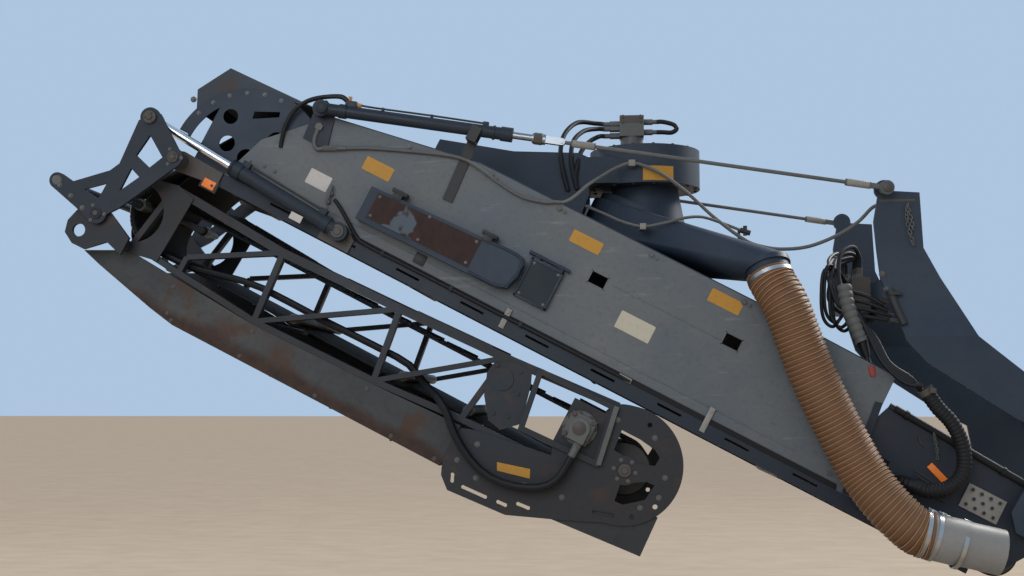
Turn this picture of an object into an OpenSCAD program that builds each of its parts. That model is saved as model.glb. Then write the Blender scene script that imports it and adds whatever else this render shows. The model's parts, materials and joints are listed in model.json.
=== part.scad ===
// Folding discharge conveyor of a cold planer, folded for transport, on its slewing console.
// The origin is the centre of the console's lower slew bore. The belt discharges towards -X.

/* [Boom] */
// Angle of the boom above the horizontal
boom_angle = 27.5; // [24:0.5:31]
// Length of the boom from its luff pivot to its upper end
boom_l = 5160; // [4900:10:5300]
// Width over the boom's side rails
boom_w = 1400; // [1360:10:1500]
// Depth of a side rail
rail_h = 80; // [70:1:90]
// Width of a side rail's flanges
rail_flange = 60; // [50:1:70]
// Thickness of the rails' metal
rail_t = 8; // [6:1:12]
// Height of the hood's walls above the rails
hood_h = 735; // [700:5:760]
// Thickness of the hood's sheet
sheet_t = 6; // [4:1:8]
// Rise of the hood's roof at its ridge
ridge_h = 60; // [40:5:90]

/* [Belt] */
// Width of the belt
belt_w = 1000; // [900:10:1040]
// Thickness of the belt
belt_t = 12; // [8:1:14]
// Radius of the tail drum
tail_drum_r = 122; // [110:1:126]
// Radius of the head drum
head_drum_r = 146; // [136:1:150]
// Radius of an idler roll
idler_r = 44; // [38:1:46]

/* [Luffing] */
// Radius of the luff pivots' pins
luff_pin_r = 40; // [34:1:44]
// Radius of a luff cylinder's barrel
luff_barrel_r = 36; // [32:1:40]
// Length of a luff cylinder's barrel
luff_barrel_l = 1120; // [1000:10:1160]
// Radius of a luff cylinder's rod
luff_rod_r = 20; // [16:1:24]
// Radius of a stay rope
rope_r = 11; // [9:0.5:13]

/* [Folding] */
// Radius of a fold cylinder's barrel
fold_barrel_r = 42; // [38:1:46]
// Length of a fold cylinder's barrel
fold_barrel_l = 740; // [700:10:760]
// Radius of a fold cylinder's rod
fold_rod_r = 26; // [22:1:30]
// Thickness of a crank plate
crank_t = 25; // [20:1:30]
// Radius of the pins that the cranks turn on
crank_pin_r = 32; // [28:1:36]

/* [Folding section] */
// Depth of the section's upper chord tubes
chord_h = 50; // [44:1:56]
// Depth of the section's lower chord tubes
low_chord_h = 36; // [32:1:42]
// Width of the chord tubes
chord_w = 60; // [50:1:64]
// Outer radius of the head plates
head_r = 337; // [325:1:338]

/* [Dust extraction] */
// Radius of the fan's housing
fan_r = 340; // [320:5:360]
// Height of the fan's housing
fan_h = 236; // [210:2:250]
// Radius of the extraction hose over its ribs
hose_r = 132; // [124:1:138]

/* [Console] */
// Radius of the slew bores
slew_r = 45; // [40:1:50]
// Thickness of the console's side plates
arm_t = 25; // [20:1:30]
// Height of the console's rope ears above the slew bore
ear_z = 2093; // [2060:1:2120]

/* [Hidden] */
$fn = 48;

// Running clearance of a pin in its bore, gap between faces that move past each other
run = 0.05;
seat = 0.3;

half_w = boom_w / 2;
luff_x = -440;
luff_z = 250;

// Heights along the boom's v axis, from the luff pivot
rail_top = -350;
rail_low = rail_top - rail_h;
hood_top = rail_top + hood_h;
ridge_v = hood_top + ridge_h;
wall_out = half_w - 10;
wall_in = wall_out - sheet_t;
carry_v = -120;
return_v = carry_v - belt_t - 2 * tail_drum_r;

// Lateral places outside the rails
luff_y = half_w + 52;
fold_y = half_w + 75;
hook_y = half_w + 100;
hook_t = 25;
crank_y = half_w + 135;

// Places along the boom
tail_u = -80;
hood_low_u = 937;
hood_end_u = boom_l - 200;
fold_pivot = [boom_l + 58, -401];
rod_pin = fold_pivot + [234, 144];
tip_tube = fold_pivot + [549, -427];
knuckle = fold_pivot + [248, -491];
fold_base = fold_pivot + [-1044, 56];
luff_pin = [boom_l - 560, 250];
fold_angle = atan2(rod_pin[1] - fold_base[1], rod_pin[0] - fold_base[0]);
fold_l = norm(rod_pin - fold_base);

// The luff pin and the rope ear in the row's X and Z
luff_pin_x = luff_x - luff_pin[0] * cos(boom_angle) + luff_pin[1] * sin(boom_angle);
luff_pin_z = luff_z + luff_pin[0] * sin(boom_angle) + luff_pin[1] * cos(boom_angle);
ear_x = -1200;
stay_l = norm([luff_pin_x - ear_x, luff_pin_z - ear_z]);
stay_angle = atan2(luff_pin_z - ear_z, ear_x - luff_pin_x);
rope_l = 1840;

// Section's joints as [p, q] from the knuckle: p runs to the head, q up towards the boom
top_nodes = [[284, 332], [1039, 292], [1802, 317], [2473, 347], [3174, 397]];
low_nodes = [[216, -68], [1075, -138], [1860, -118], [2408, -78], [3041, -58]];
head_c = [3363, 96];

// Turns x, y, z into the boom's u, v and lateral axes
module boom_axes() {
    translate([luff_x, 0, luff_z])
        rotate([0, boom_angle, 0])
            rotate([90, 0, 180])
                children();
}

// Turns x, y, z into the folded section's p, q and lateral axes
module section_axes() {
    boom_axes()
        translate([knuckle[0], knuckle[1], 0])
            mirror([1, 0, 0])
                children();
}

// Turns x, y, z into the axes of the stay from the luff pin to the console's ear
module stay_axes() {
    translate([luff_pin_x, 0, luff_pin_z])
        rotate([0, stay_angle, 0])
            rotate([90, 0, 0])
                children();
}

// Turns x, y, z into the axes of a fold cylinder, x along it from its base
module fold_axes() {
    boom_axes()
        translate([fold_base[0], fold_base[1], 0])
            rotate([0, 0, fold_angle])
                children();
}

// A plane shape as a plate on each side, from y_in outwards
module both_sides(y_in, t) {
    for (s = [0, 1])
        mirror([0, 0, s])
            translate([0, 0, y_in])
                linear_extrude(t)
                    children();
}

// A round bar across the machine at p, on each side, from y_in to y_out
module side_pins(p, r, y_in, y_out) {
    for (s = [0, 1])
        mirror([0, 0, s])
            translate([p[0], p[1], y_in])
                cylinder(r = r, h = y_out - y_in);
}

// A round bar right across at p
module cross_bar(p, r, half_l) {
    translate([p[0], p[1], -half_l])
        cylinder(r = r, h = 2 * half_l);
}

// A flat bar between two points in a plane
module bar(a, b, w) {
    d = b - a;
    translate(a)
        rotate(atan2(d[1], d[0]))
            translate([0, -w / 2])
                square([norm(d), w]);
}

// A chain of flat bars with round joints
module bars(points, w) {
    for (i = [0 : len(points) - 2])
        bar(points[i], points[i + 1], w);
    for (i = [1 : len(points) - 2])
        translate(points[i])
            circle(d = w + 2);
}

function unit(v) = v / norm(v);
function blend_point(a, b, c, d, t) =
    0.5 * (2 * b + (c - a) * t + (2 * a - 5 * b + 4 * c - d) * t * t
    + (3 * b - a - 3 * c + d) * t * t * t);
// A smooth curve through the route's points, with some steps between each two
function smooth(p, steps) = [
    for (i = [0 : len(p) - 2]) for (k = [0 : steps - 1])
        blend_point(p[max(i - 1, 0)], p[i], p[i + 1], p[min(i + 2, len(p) - 1)], k / steps),
    p[len(p) - 1]
];
function heading(p, i) = unit(p[min(i + 1, len(p) - 1)] - p[max(i - 1, 0)]);
function ring(c, t, r, sides, up) =
    let (s = unit(cross(t, up)), n = unit(cross(s, t)))
    [for (k = [0 : sides - 1]) c + r * (cos(360 * k / sides) * s + sin(360 * k / sides) * n)];

// A hose swept along a route, up being a direction that the route never takes
module hose(route, r, steps = 2, sides = 8, up = [0, 0, 1]) {
    p = smooth(route, steps);
    m = len(p);
    points = [for (i = [0 : m - 1]) each ring(p[i], heading(p, i), r, sides, up)];
    walls = [
        for (i = [0 : m - 2]) for (k = [0 : sides - 1])
            let (a = i * sides + k, b = i * sides + (k + 1) % sides)
            each [[a, b, b + sides], [a, b + sides, a + sides]]
    ];
    first = [for (k = [0 : sides - 1]) sides - 1 - k];
    last = [for (k = [0 : sides - 1]) (m - 1) * sides + k];
    polyhedron(points, concat(walls, [first], [last]));
}

// Console

arm_top_y = half_w - 40;
arm_mid_y = half_w - 20;
arm_low_y = half_w + 40;
facet_z = [1760, 1590, 1260];
ear_pin_r = 20;

module arm_slice(z_low, z_high) {
    intersection() {
        polygon([
            [ear_x - 30, 2090], [ear_x + 195, 2075], [ear_x + 209, facet_z[0]], [ear_x + 247, 1730],
            [-918, 1613], [-846, 1439], [-758, 1287], [-461, 1042], [-100, 940], [120, 940], [120, -60],
            [-120, -60], [-300, 70], [-440, 130], [-560, 190], [-580, 300], [-520, 400], [-370, 560],
            [-400, 740], [-550, 815], [-1008, 1115], [-1115, 1238], [-1155, 1384], [-1233, 1559],
            [-1240, 1638], [-1262, 1911]
        ]);
        translate([-2000, z_low])
            square([3000, z_high - z_low]);
    }
}

// One slice of the arm's plate, standing at lateral y
module arm_plate(z_low, z_high, y) {
    translate([0, -y, 0])
        rotate([90, 0, 0])
            linear_extrude(arm_t)
                arm_slice(z_low, z_high);
}

module console_arm() {
    skin = 0.5;
    difference() {
        union() {
            arm_plate(facet_z[0], 2200, arm_top_y);
            hull() {
                arm_plate(facet_z[0], facet_z[0] + skin, arm_top_y);
                arm_plate(facet_z[1], facet_z[1] + skin, arm_mid_y);
            }
            hull() {
                arm_plate(facet_z[1], facet_z[1] + skin, arm_mid_y);
                arm_plate(facet_z[2] - skin, facet_z[2], arm_low_y);
            }
            arm_plate(-100, facet_z[2], arm_low_y);
            translate([ear_x, -arm_top_y, ear_z])
                rotate([90, 0, 0])
                    cylinder(r = 55, h = arm_t);
        }
    }
    translate([ear_x, -arm_top_y - arm_t, ear_z])
        rotate([90, 0, 0])
            cylinder(r = ear_pin_r, h = luff_y + 36 - arm_top_y - arm_t);
    translate([luff_x, -arm_low_y, luff_z])
        rotate([-90, 0, 0])
            cylinder(r = luff_pin_r, h = arm_low_y - tail_in);
    translate([luff_x, -arm_low_y - arm_t, luff_z])
        rotate([90, 0, 0])
            cylinder(r = luff_pin_r + 14, h = 14);
}

module console_arm_near() {
    color([0.27, 0.3, 0.35]) console_arm();
}

module console_arm_far() {
    color([0.27, 0.3, 0.35]) mirror([0, 1, 0]) console_arm();
}

beam_x = -60;
beam_l = 170;
beam_h = 170;
upper_beam_z = 770;
front_beam = [-1225, 1478];
front_beam_s = 110;

// Lateral place of an arm's inner face at height z, between the two lower facets
function arm_inner(z) =
    arm_mid_y + (facet_z[1] - z) * (arm_low_y - arm_mid_y) / (facet_z[1] - facet_z[2] + 0.5);

module slew_beam(z) {
    difference() {
        union() {
            translate([beam_x, -arm_low_y, z])
                cube([beam_l, 2 * arm_low_y, beam_h]);
            translate([0, 0, z])
                cylinder(r = slew_r + 45, h = beam_h);
        }
        translate([0, 0, z - 1])
            cylinder(r = slew_r, h = beam_h + 2);
    }
}

module console_cross_members() {
    color([0.25, 0.28, 0.32]) {
        difference() {
            slew_beam(-beam_h / 2);
            for (s = [-1, 1])
                translate([beam_x + beam_l - 45, s * 420, -beam_h])
                    cylinder(r = 25, h = 2 * beam_h);
        }
        slew_beam(upper_beam_z);
        translate([front_beam[0], 0, 0])
            rotate([90, 0, 90])
                linear_extrude(front_beam_s)
                    polygon([
                        for (end = [[-1, 0], [1, 0], [1, 1], [-1, 1]])
                            let (z = front_beam[1] + end[1] * front_beam_s)
                            [end[0] * (arm_inner(z) - seat), z]
                    ]);
    }
}

module valve_block() {
    color([0.16, 0.17, 0.19]) {
        for (y = [-360, 60])
            translate([front_beam[0] - 110, y, front_beam[1] - 40]) {
                cube([110, 260, 190]);
                for (k = [0 : 3])
                    translate([55, 40 + 60 * k, 190])
                        cylinder(r = 18, h = 60);
            }
    }
}

module console_hoses() {
    color([0.06, 0.06, 0.07])
        for (k = [0 : 2])
            rotate([90, 0, 0])
                hose([
                    [-1280, 1438, 130 + 60 * k], [-1280, 1418, 130 + 60 * k], [-1270, 1388, 130 + 60 * k],
                    [-1230, 1368, 130 + 60 * k], [-1190, 1388, 130 + 60 * k], [-1180, 1418, 130 + 60 * k],
                    [-1180, 1478, 130 + 60 * k]
                ], 16, 1);
}

// Boom frame

slot_l = 150;
slot_pitch = 420;
tail_in = half_w - 40;
tail_t = 20;
cross_tube_s = 50;
cross_tubes = [1060 : 780 : boom_l - 900];

module rail_web() {
    difference() {
        translate([tail_u + 280, rail_low])
            square([boom_l - tail_u - 280, rail_h]);
        for (u = [700 : slot_pitch : boom_l - 500])
            translate([u, rail_low + 44])
                square([slot_l, 14]);
    }
}

module boom_frame() {
    color([0.24, 0.27, 0.31])
        boom_axes()
            difference() {
                union() {
                    both_sides(half_w - rail_t, rail_t)
                        rail_web();
                    for (v = [rail_low, rail_top - rail_t])
                        both_sides(half_w - rail_flange, rail_flange)
                            translate([tail_u + 280, v])
                                square([boom_l - tail_u - 280, rail_t]);
                    for (u = cross_tubes)
                        translate([u, rail_top - 10, seat - wall_in])
                            cube([cross_tube_s, cross_tube_s, 2 * (wall_in - seat)]);
                    translate([elbow_upper[0][0] + 10, rail_low, 50 - half_w])
                        cube([30, elbow_upper[0][1] - drive_hose_r - seat - rail_low, 100]);
                }
            }
}

module tail_outline() {
    difference() {
        polygon([
            [tail_u, -150], [tail_u, 143], [960, 205], [1000, 100], [1000, rail_top], [300, rail_top],
            [40, -330]
        ]);
        circle(r = luff_pin_r + run);
        translate([825, -130])
            square([120, 60]);
        translate([60, return_v + belt_t / 2 + tail_drum_r])
            circle(r = 31);
    }
}

module tail_plates() {
    color([0.24, 0.27, 0.31])
        boom_axes() {
            both_sides(tail_in, tail_t)
                tail_outline();
            for (s = [-1, 1])
                translate([tail_u, 143, s * (tail_in + tail_t / 2)])
                    rotate([0, 90, atan2(62, 960 - tail_u)])
                        cylinder(r = 20, h = norm([62, 960 - tail_u]));
            cross_bar([700, 110], 25, tail_in);
            translate([sleeve_end[0], sleeve_end[1], -half_w])
                cylinder(r = 52, h = half_w - tail_in - tail_t);
        }
}

module tail_drum() {
    c = [60, return_v + belt_t / 2 + tail_drum_r];
    color([0.35, 0.33, 0.3])
        boom_axes() {
            cross_bar(c, tail_drum_r - seat, belt_w / 2 + 20);
            cross_bar(c, 31 - run, tail_in + tail_t + 10);
        }
}

module belt_loop(u_low, u_high, drum_c, r) {
    difference() {
        union() {
            translate(drum_c)
                circle(r = r + belt_t);
            translate([drum_c[0], drum_c[1] - r - belt_t])
                square([u_high - drum_c[0], 2 * (r + belt_t)]);
        }
        translate(drum_c)
            circle(r = r);
        translate([drum_c[0], drum_c[1] - r])
            square([u_high - drum_c[0] + 1, 2 * r]);
    }
}

belt_end_u = boom_l - 110;

module boom_belt() {
    c = [60, return_v + belt_t / 2 + tail_drum_r];
    color([0.07, 0.07, 0.075])
        boom_axes()
            translate([0, 0, -belt_w / 2])
                linear_extrude(belt_w)
                    belt_loop(0, belt_end_u, c, tail_drum_r);
}

module carrying_idlers() {
    color([0.3, 0.3, 0.31])
        boom_axes()
            for (u = cross_tubes) {
                cross_bar([u + 25, carry_v - belt_t / 2 - idler_r - seat], idler_r, belt_w / 2);
                both_sides(belt_w / 2, 12)
                    translate([u + 5, rail_top - 10 + cross_tube_s])
                        square([40, carry_v - rail_top - cross_tube_s - belt_t / 2 - idler_r + 20]);
            }
}

return_idler_r = 28;

module return_idlers() {
    c_v = return_v - belt_t / 2 - return_idler_r - seat;
    color([0.3, 0.3, 0.31])
        boom_axes()
            for (u = [1300 : 1200 : boom_l - 100]) {
                cross_bar([u, c_v], return_idler_r, belt_w / 2 + 20);
                cross_bar([u, c_v], 11, half_w - rail_t);
            }
}

// Hood over the boom

module hood_outline() {
    polygon([
        [hood_low_u, rail_top], [hood_low_u + 60, rail_top + 260], [hood_low_u + 67, hood_top - 20],
        [1862, hood_top], [3640, hood_top], [hood_end_u - 400, hood_top - 155],
        [hood_end_u - 100, rail_top + 280], [hood_end_u, rail_top]
    ]);
}

module wall_holes() {
    for (p = [[2727, 93], [1895, 124]])
        translate(p - [55, 40])
            square([110, 80]);
}

module hood_wall_near() {
    color([0.42, 0.44, 0.47])
        boom_axes()
            translate([0, 0, -wall_out])
                linear_extrude(sheet_t)
                    difference() {
                        hood_outline();
                        wall_holes();
                    }
}

module hood_wall_far() {
    color([0.42, 0.44, 0.47])
        boom_axes()
            translate([0, 0, wall_in])
                linear_extrude(sheet_t)
                    difference() {
                        hood_outline();
                        wall_holes();
                    }
}

roof_bends = [
    [hood_low_u + 70, hood_top - 20], [1862, hood_top], [3640, hood_top],
    [hood_end_u - 400, hood_top - 155]
];

// One straight run of the roof, its profile given as [lateral, height over the walls]
module roof_run(i, lap) {
    low = roof_bends[i];
    high = roof_bends[i + 1];
    translate([high[0], high[1] + (i == 1 ? seat + 0.4 : seat), 0])
        rotate([0, 0, atan2(high[1] - low[1], high[0] - low[0])])
            rotate([0, -90, 0])
                translate([0, 0, -lap])
                    linear_extrude(norm(high - low) + 2 * lap)
                        children();
}

module hood_roof() {
    color([0.2, 0.23, 0.28])
        boom_axes()
            for (s = [0, 1])
                mirror([0, 0, s])
                    for (i = [0 : 2])
                        roof_run(i, i == 1 ? 14 : 0)
                            polygon([
                                [0, ridge_h + sheet_t], [wall_out, sheet_t], [wall_out, 0],
                                [wall_in - 40, 0], [0, ridge_h]
                            ]);
}

// Everything under the roof's top, which the ducts on it are cut to
module under_roof() {
    boom_axes()
        for (i = [1, 2])
            roof_run(i, i == 1 ? 14 : 0)
                polygon([
                    [-wall_out, -300], [-wall_out, sheet_t + seat], [0, ridge_h + sheet_t + seat],
                    [wall_out, sheet_t + seat], [wall_out, -300]
                ]);
}

elbow_c = [boom_l - 294, -247];
elbow_r = 465;

module elbow_outline() {
    arm_w = 75;
    intersection() {
        translate(elbow_c)
            difference() {
                circle(r = elbow_r, $fn = 96);
                difference() {
                    circle(r = elbow_r - arm_w, $fn = 96);
                    translate([-600, -600])
                        square([910, 1200]);
                }
            }
        polygon([
            [boom_l - 760, hood_top - 155], [boom_l + 40, hood_top], [boom_l + 230, 0], [boom_l + 205, -235],
            [boom_l + 120, -235], [boom_l + 10, -300], [boom_l + 10, rail_top], [boom_l - 760, rail_top]
        ]);
    }
}

module elbow_holes() {
    translate([boom_l - 67, -30])
        circle(r = 45);
    translate([boom_l - 123, -181])
        circle(r = 48);
    translate([boom_l - 267, -209])
        circle(r = 55);
    translate([boom_l - 386, -43])
        circle(r = 60);
    polygon([[boom_l - 180, 60], [boom_l - 190, 15], [boom_l - 330, 95], [boom_l - 320, 125]]);
}

module elbow_plates() {
    color([0.2, 0.23, 0.28])
        boom_axes()
            both_sides(wall_in - 12 - seat, 12)
                difference() {
                    elbow_outline();
                    elbow_holes();
                }
}

module visor() {
    inside = wall_in - 12 - 2 * seat;
    color([0.3, 0.28, 0.27])
        boom_axes() {
            translate([boom_l, 0, -inside])
                linear_extrude(2 * inside)
                    polygon([
                        [-584, 245], [76, 226], [194, 24], [139, -90], [132, -86], [187, 24],
                        [72, 220], [-584, 239]
                    ]);
            both_sides(inside - sheet_t, sheet_t)
                translate([boom_l, 0])
                    polygon([[-460, 237], [70, 222], [188, 24], [134, -87], [-5, 62], [-222, 180]]);
        }
}

// Fittings on the near hood wall

module side_box() {
    color([0.32, 0.31, 0.32])
        boom_axes()
            translate([0, 0, -wall_out - 90]) {
                linear_extrude(90)
                    polygon([
                        [4124, -23], [3200, 14], [3157, 8], [3135, -30], [3135, -110], [3160, -190],
                        [3222, -215], [4124, -231]
                    ]);
                translate([0, 0, -4])
                    linear_extrude(4)
                        polygon([[4071, -38], [3412, -12], [3412, -190], [4071, -200]]);
                for (p = [[3962, -18], [3388, 4]])
                    translate([p[0] - 22, p[1], 20])
                        cube([44, 26, 50]);
            }
}

module access_hatch() {
    color([0.15, 0.18, 0.22])
        boom_axes() {
            translate([2913, -205, -wall_out - 25])
                cube([206, 243, 25]);
            for (u = [2925, 3070])
                translate([u, 36, -wall_out - 26])
                    cube([34, 34, 26]);
            translate([2895, 58, -wall_out - 20])
                rotate([0, 90, 0])
                    cylinder(r = 9, h = 240);
        }
}

// Dust extraction

fan_c = [-2526, 2330];

module duct_upper() {
    color([0.2, 0.23, 0.28])
        difference() {
            boom_axes()
                translate([0, 0, -300])
                    linear_extrude(600)
                        polygon([
                            [4000, 300], [4000, 453], [3560, 590], [3200, 760], [3142, 760], [2968, 850],
                            [2895, 710], [3066, 620], [3030, 560], [3020, 453], [3020, 300]
                        ]);
            under_roof();
            translate([fan_c[0], 0, fan_c[1] - fan_h])
                cylinder(r = fan_r + seat, h = 2 * fan_h, $fn = 180);
        }
}

// Where the extraction hose leaves the lower duct, as [u, v, lateral], and the way it goes
hose_y = half_w + 140;
hose_start = [1890, 552, 72 - hose_y];
hose_way = [-0.68, -0.64, -0.357];
pipe_y = half_w + 235;
scroll_c = [2685, ridge_v + sheet_t];
scroll_h = 190;
scroll_neck = 50;

module duct_lower() {
    color([0.2, 0.23, 0.28])
        difference() {
            boom_axes() {
                translate([scroll_c[0], scroll_c[1] - ridge_h, 0])
                    rotate([-90, 0, 0])
                        cylinder(r = 300, h = scroll_h + ridge_h);
                hull() {
                    translate([scroll_c[0], scroll_c[1] - ridge_h, 0])
                        rotate([-90, 0, 0])
                            cylinder(r = 330, h = scroll_h - scroll_neck + ridge_h);
                    along_outlet(-60)
                        cylinder(r = hose_r + 4, h = 30);
                }
                along_outlet(-40)
                    cylinder(r = hose_r - 8, h = 40 - seat);
            }
            under_roof();
        }
}

// Stands z along the outlet's way, from some distance short of the hose's start
module along_outlet(ahead) {
    way = heading(smooth(hose_route, 2), 0);
    translate(hose_start + ahead * way)
        rotate([0, acos(way[2]), atan2(way[1], way[0])])
            children();
}

module fan_housing() {
    color([0.24, 0.27, 0.32])
        translate([fan_c[0], 0, fan_c[1]]) {
            translate([0, 0, -fan_h / 2])
                cylinder(r = fan_r, h = fan_h);
            difference() {
                translate([0, 0, -fan_h / 2 - 400])
                    cylinder(r1 = 280, r2 = 205, h = 400);
                translate([-fan_c[0], 0, -fan_c[1]])
                    boom_axes()
                        translate([1500, -1500, -600])
                            cube([2000, 1500 + scroll_c[1] + scroll_h + seat, 1200]);
            }
        }
}

module fan_motor() {
    color([0.4, 0.42, 0.42])
        translate([fan_c[0] - 80, 0, fan_c[1] + fan_h / 2]) {
            cylinder(r = 70, h = 100);
            translate([-75, -75, 100])
                cube([150, 150, 130]);
        }
}

// Route of the extraction hose down the near side, as [u, v, lateral]
hose_route = [
    hose_start, hose_start + 60 * hose_way, [1730, 425, 5 - hose_y], [1570, 275, -hose_y],
    [1420, 140, -hose_y],
    [1270, 22, -hose_y], [1120, -90, -hose_y - 5], [955, -206, -hose_y - 20],
    [808, -286, 30 - pipe_y], [667, -337, -pipe_y], [582, -352, -pipe_y], [522, -341, -pipe_y]
];
pipe_start = hose_route[len(hose_route) - 1];
pipe_way = heading(smooth(hose_route, 2), 2 * (len(hose_route) - 1));
pipe_l = 380;
spigot_l = 200;

module extraction_hose() {
    color([0.48, 0.29, 0.2])
        boom_axes()
            hose(hose_route, hose_r, 2, 12);
}

module hose_pipe() {
    color([0.5, 0.5, 0.48])
        boom_axes()
            translate(pipe_start + seat * pipe_way)
                rotate([0, 0, atan2(pipe_way[1], pipe_way[0])])
                    rotate([0, 90, 0])
                        difference() {
                            union() {
                                cylinder(r = hose_r - 6, h = pipe_l - spigot_l);
                                cylinder(r = hose_r - 10, h = pipe_l);
                                translate([half_w + pipe_start[2], 60, 40])
                                    cube([155, 40, 60]);
                            }
                            translate([0, 0, -1])
                                cylinder(r = hose_r - 14, h = pipe_l + 2);
                        }
}

// Luffing gear

module luff_brackets() {
    color([0.24, 0.27, 0.31])
        boom_axes()
            for (s = [0, 1])
                mirror([0, 0, s]) {
                    translate([0, 0, wall_out])
                        linear_extrude(14)
                            polygon([
                                luff_pin + [60, 20], luff_pin + [20, 60], luff_pin + [-60, 30],
                                luff_pin + [-120, -200], luff_pin + [40, -200]
                            ]);
                    translate([luff_pin[0], luff_pin[1], wall_out])
                        cylinder(r = 22, h = luff_y + 45 - wall_out);
                }
}

module rest_brackets() {
    color([0.15, 0.17, 0.2])
        boom_axes()
            for (s = [0, 1])
                mirror([0, 0, s]) {
                    translate([0, 0, wall_out])
                        linear_extrude(12)
                            bar([3710, 105], [3737, 470], 60);
                    translate([3707, 464, wall_out])
                        cube([60, 12, 116]);
                    for (z = [700, 798])
                        translate([3707, 464, z])
                            cube([60, 90, 6]);
                }
}

lug_t = 15;

module boom_pins() {
    color([0.2, 0.2, 0.2])
        boom_axes() {
            both_sides(half_w, lug_t) {
                hull() {
                    translate(fold_pivot)
                        circle(r = 62);
                    translate([boom_l - 200, rail_low])
                        square([60, rail_h]);
                }
                hull() {
                    translate(fold_base)
                        circle(r = 50);
                    translate(fold_base + [-90, rail_low - fold_base[1]])
                        square([200, rail_h]);
                }
            }
            side_pins(fold_pivot, 45, half_w + lug_t, crank_y - seat);
            side_pins(fold_pivot, crank_pin_r, half_w + lug_t, crank_y + crank_t + 12);
            side_pins(fold_base, 25, half_w + lug_t, fold_y + 38);
        }
}

module luff_barrels() {
    color([0.17, 0.19, 0.23])
        stay_axes()
            for (s = [-1, 1])
                translate([0, 0, s * luff_y])
                    difference() {
                        union() {
                            translate([-10, 0, -24])
                                cylinder(r = 48, h = 48);
                            rotate([0, 90, 0])
                                cylinder(r = luff_barrel_r, h = luff_barrel_l);
                        }
                        translate([0, 0, -60])
                            cylinder(r = 22 + run, h = 120);
                        translate([80, 0, 0])
                            rotate([0, 90, 0])
                                cylinder(r = luff_rod_r + run, h = luff_barrel_l);
                    }
}

// Places along the stay: the rod's solid end, its fork's cheeks and the rope's eye between them
fork_x = 1310;
eye_x = stay_l - rope_l;
cheek_t = 8;
eye_half = 11;

module luff_rods() {
    color([0.75, 0.76, 0.78])
        stay_axes()
            for (s = [-1, 1])
                translate([0, 0, s * luff_y]) {
                    translate([150, 0, 0])
                        rotate([0, 90, 0])
                            cylinder(r = luff_rod_r, h = fork_x - 150);
                    translate([fork_x - 75, 0, 0])
                        rotate([0, 90, 0])
                            cylinder(r = 30, h = 75);
                    for (k = [-1, 1])
                        translate([0, 0, k * (eye_half + 0.5 + cheek_t / 2) - cheek_t / 2]) {
                            translate([fork_x - 1, -20, 0])
                                cube([eye_x - fork_x + 1, 40, cheek_t]);
                            translate([eye_x, 0, 0])
                                cylinder(r = 20, h = cheek_t);
                            translate([eye_x, 0, k > 0 ? cheek_t : -6])
                                cylinder(r = 11, h = 6);
                        }
                }
}

module luff_ropes() {
    color([0.3, 0.3, 0.3])
        stay_axes()
            for (s = [-1, 1])
                translate([0, 0, s * luff_y]) {
                    translate([eye_x, 0, -eye_half])
                        cylinder(r = 18, h = 2 * eye_half);
                    translate([eye_x, 0, 0])
                        rotate([0, 90, 0])
                            cylinder(r = rope_r, h = rope_l - 80);
                    for (x = [eye_x + 55, stay_l - 230])
                        translate([x, 0, 0])
                            rotate([0, 90, 0])
                                cylinder(r = 20, h = 140);
                    difference() {
                        union() {
                            translate([stay_l, 0, -20])
                                cylinder(r = 40, h = 40);
                            translate([stay_l - 120, -14, -14])
                                cube([90, 28, 28]);
                        }
                        translate([stay_l, 0, -21])
                            cylinder(r = ear_pin_r + run, h = 42);
                    }
                }
}

// Folding gear

module fold_barrels() {
    color([0.17, 0.19, 0.23])
        fold_axes()
            for (s = [-1, 1])
                translate([0, 0, s * fold_y])
                    difference() {
                        union() {
                            translate([0, 0, -28])
                                cylinder(r = 55, h = 56);
                            rotate([0, 90, 0])
                                cylinder(r = fold_barrel_r, h = fold_barrel_l);
                        }
                        translate([0, 0, -60])
                            cylinder(r = 25 + run, h = 120);
                        translate([90, 0, 0])
                            rotate([0, 90, 0])
                                cylinder(r = fold_rod_r + run, h = fold_barrel_l);
                    }
}

module fold_rods() {
    color([0.8, 0.8, 0.82])
        fold_axes()
            for (s = [-1, 1])
                translate([0, 0, s * fold_y]) {
                    translate([500, 0, 0])
                        rotate([0, 90, 0])
                            cylinder(r = fold_rod_r, h = fold_l - 500);
                    translate([fold_l, 0, -30])
                        cylinder(r = 48, h = 60);
                    translate([fold_l, 0, s > 0 ? 0 : -(crank_y - fold_y - seat)])
                        cylinder(r = 24, h = crank_y - fold_y - seat);
                }
}

module crank_outline() {
    difference() {
        union() {
            polygon([
                fold_pivot + [285, 100], fold_pivot + [265, -175], fold_pivot + [295, -235],
                fold_pivot + [460, -390], fold_pivot + [540, -380], fold_pivot + [570, -470],
                fold_pivot + [375, -515], fold_pivot + [250, -550], fold_pivot + [140, -400],
                fold_pivot + [60, -245], fold_pivot + [-10, -105], fold_pivot + [-55, -20],
                fold_pivot + [-35, 35], fold_pivot + [190, 190]
            ]);
            translate(rod_pin)
                circle(r = 58);
            translate(tip_tube)
                circle(r = 46);
            translate(knuckle)
                circle(r = 60);
            translate(fold_pivot)
                circle(r = 56);
        }
        translate(fold_pivot)
            circle(r = crank_pin_r + run);
        translate(knuckle)
            circle(r = crank_pin_r + run);
        polygon([
            fold_pivot + [183, 52], fold_pivot + [200, -88], fold_pivot + [95, -118], fold_pivot + [55, -30]
        ]);
        polygon([fold_pivot + [190, -168], fold_pivot + [122, -192], fold_pivot + [188, -317]]);
        polygon([fold_pivot + [379, -400], fold_pivot + [275, -308], fold_pivot + [277, -414]]);
    }
}

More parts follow.
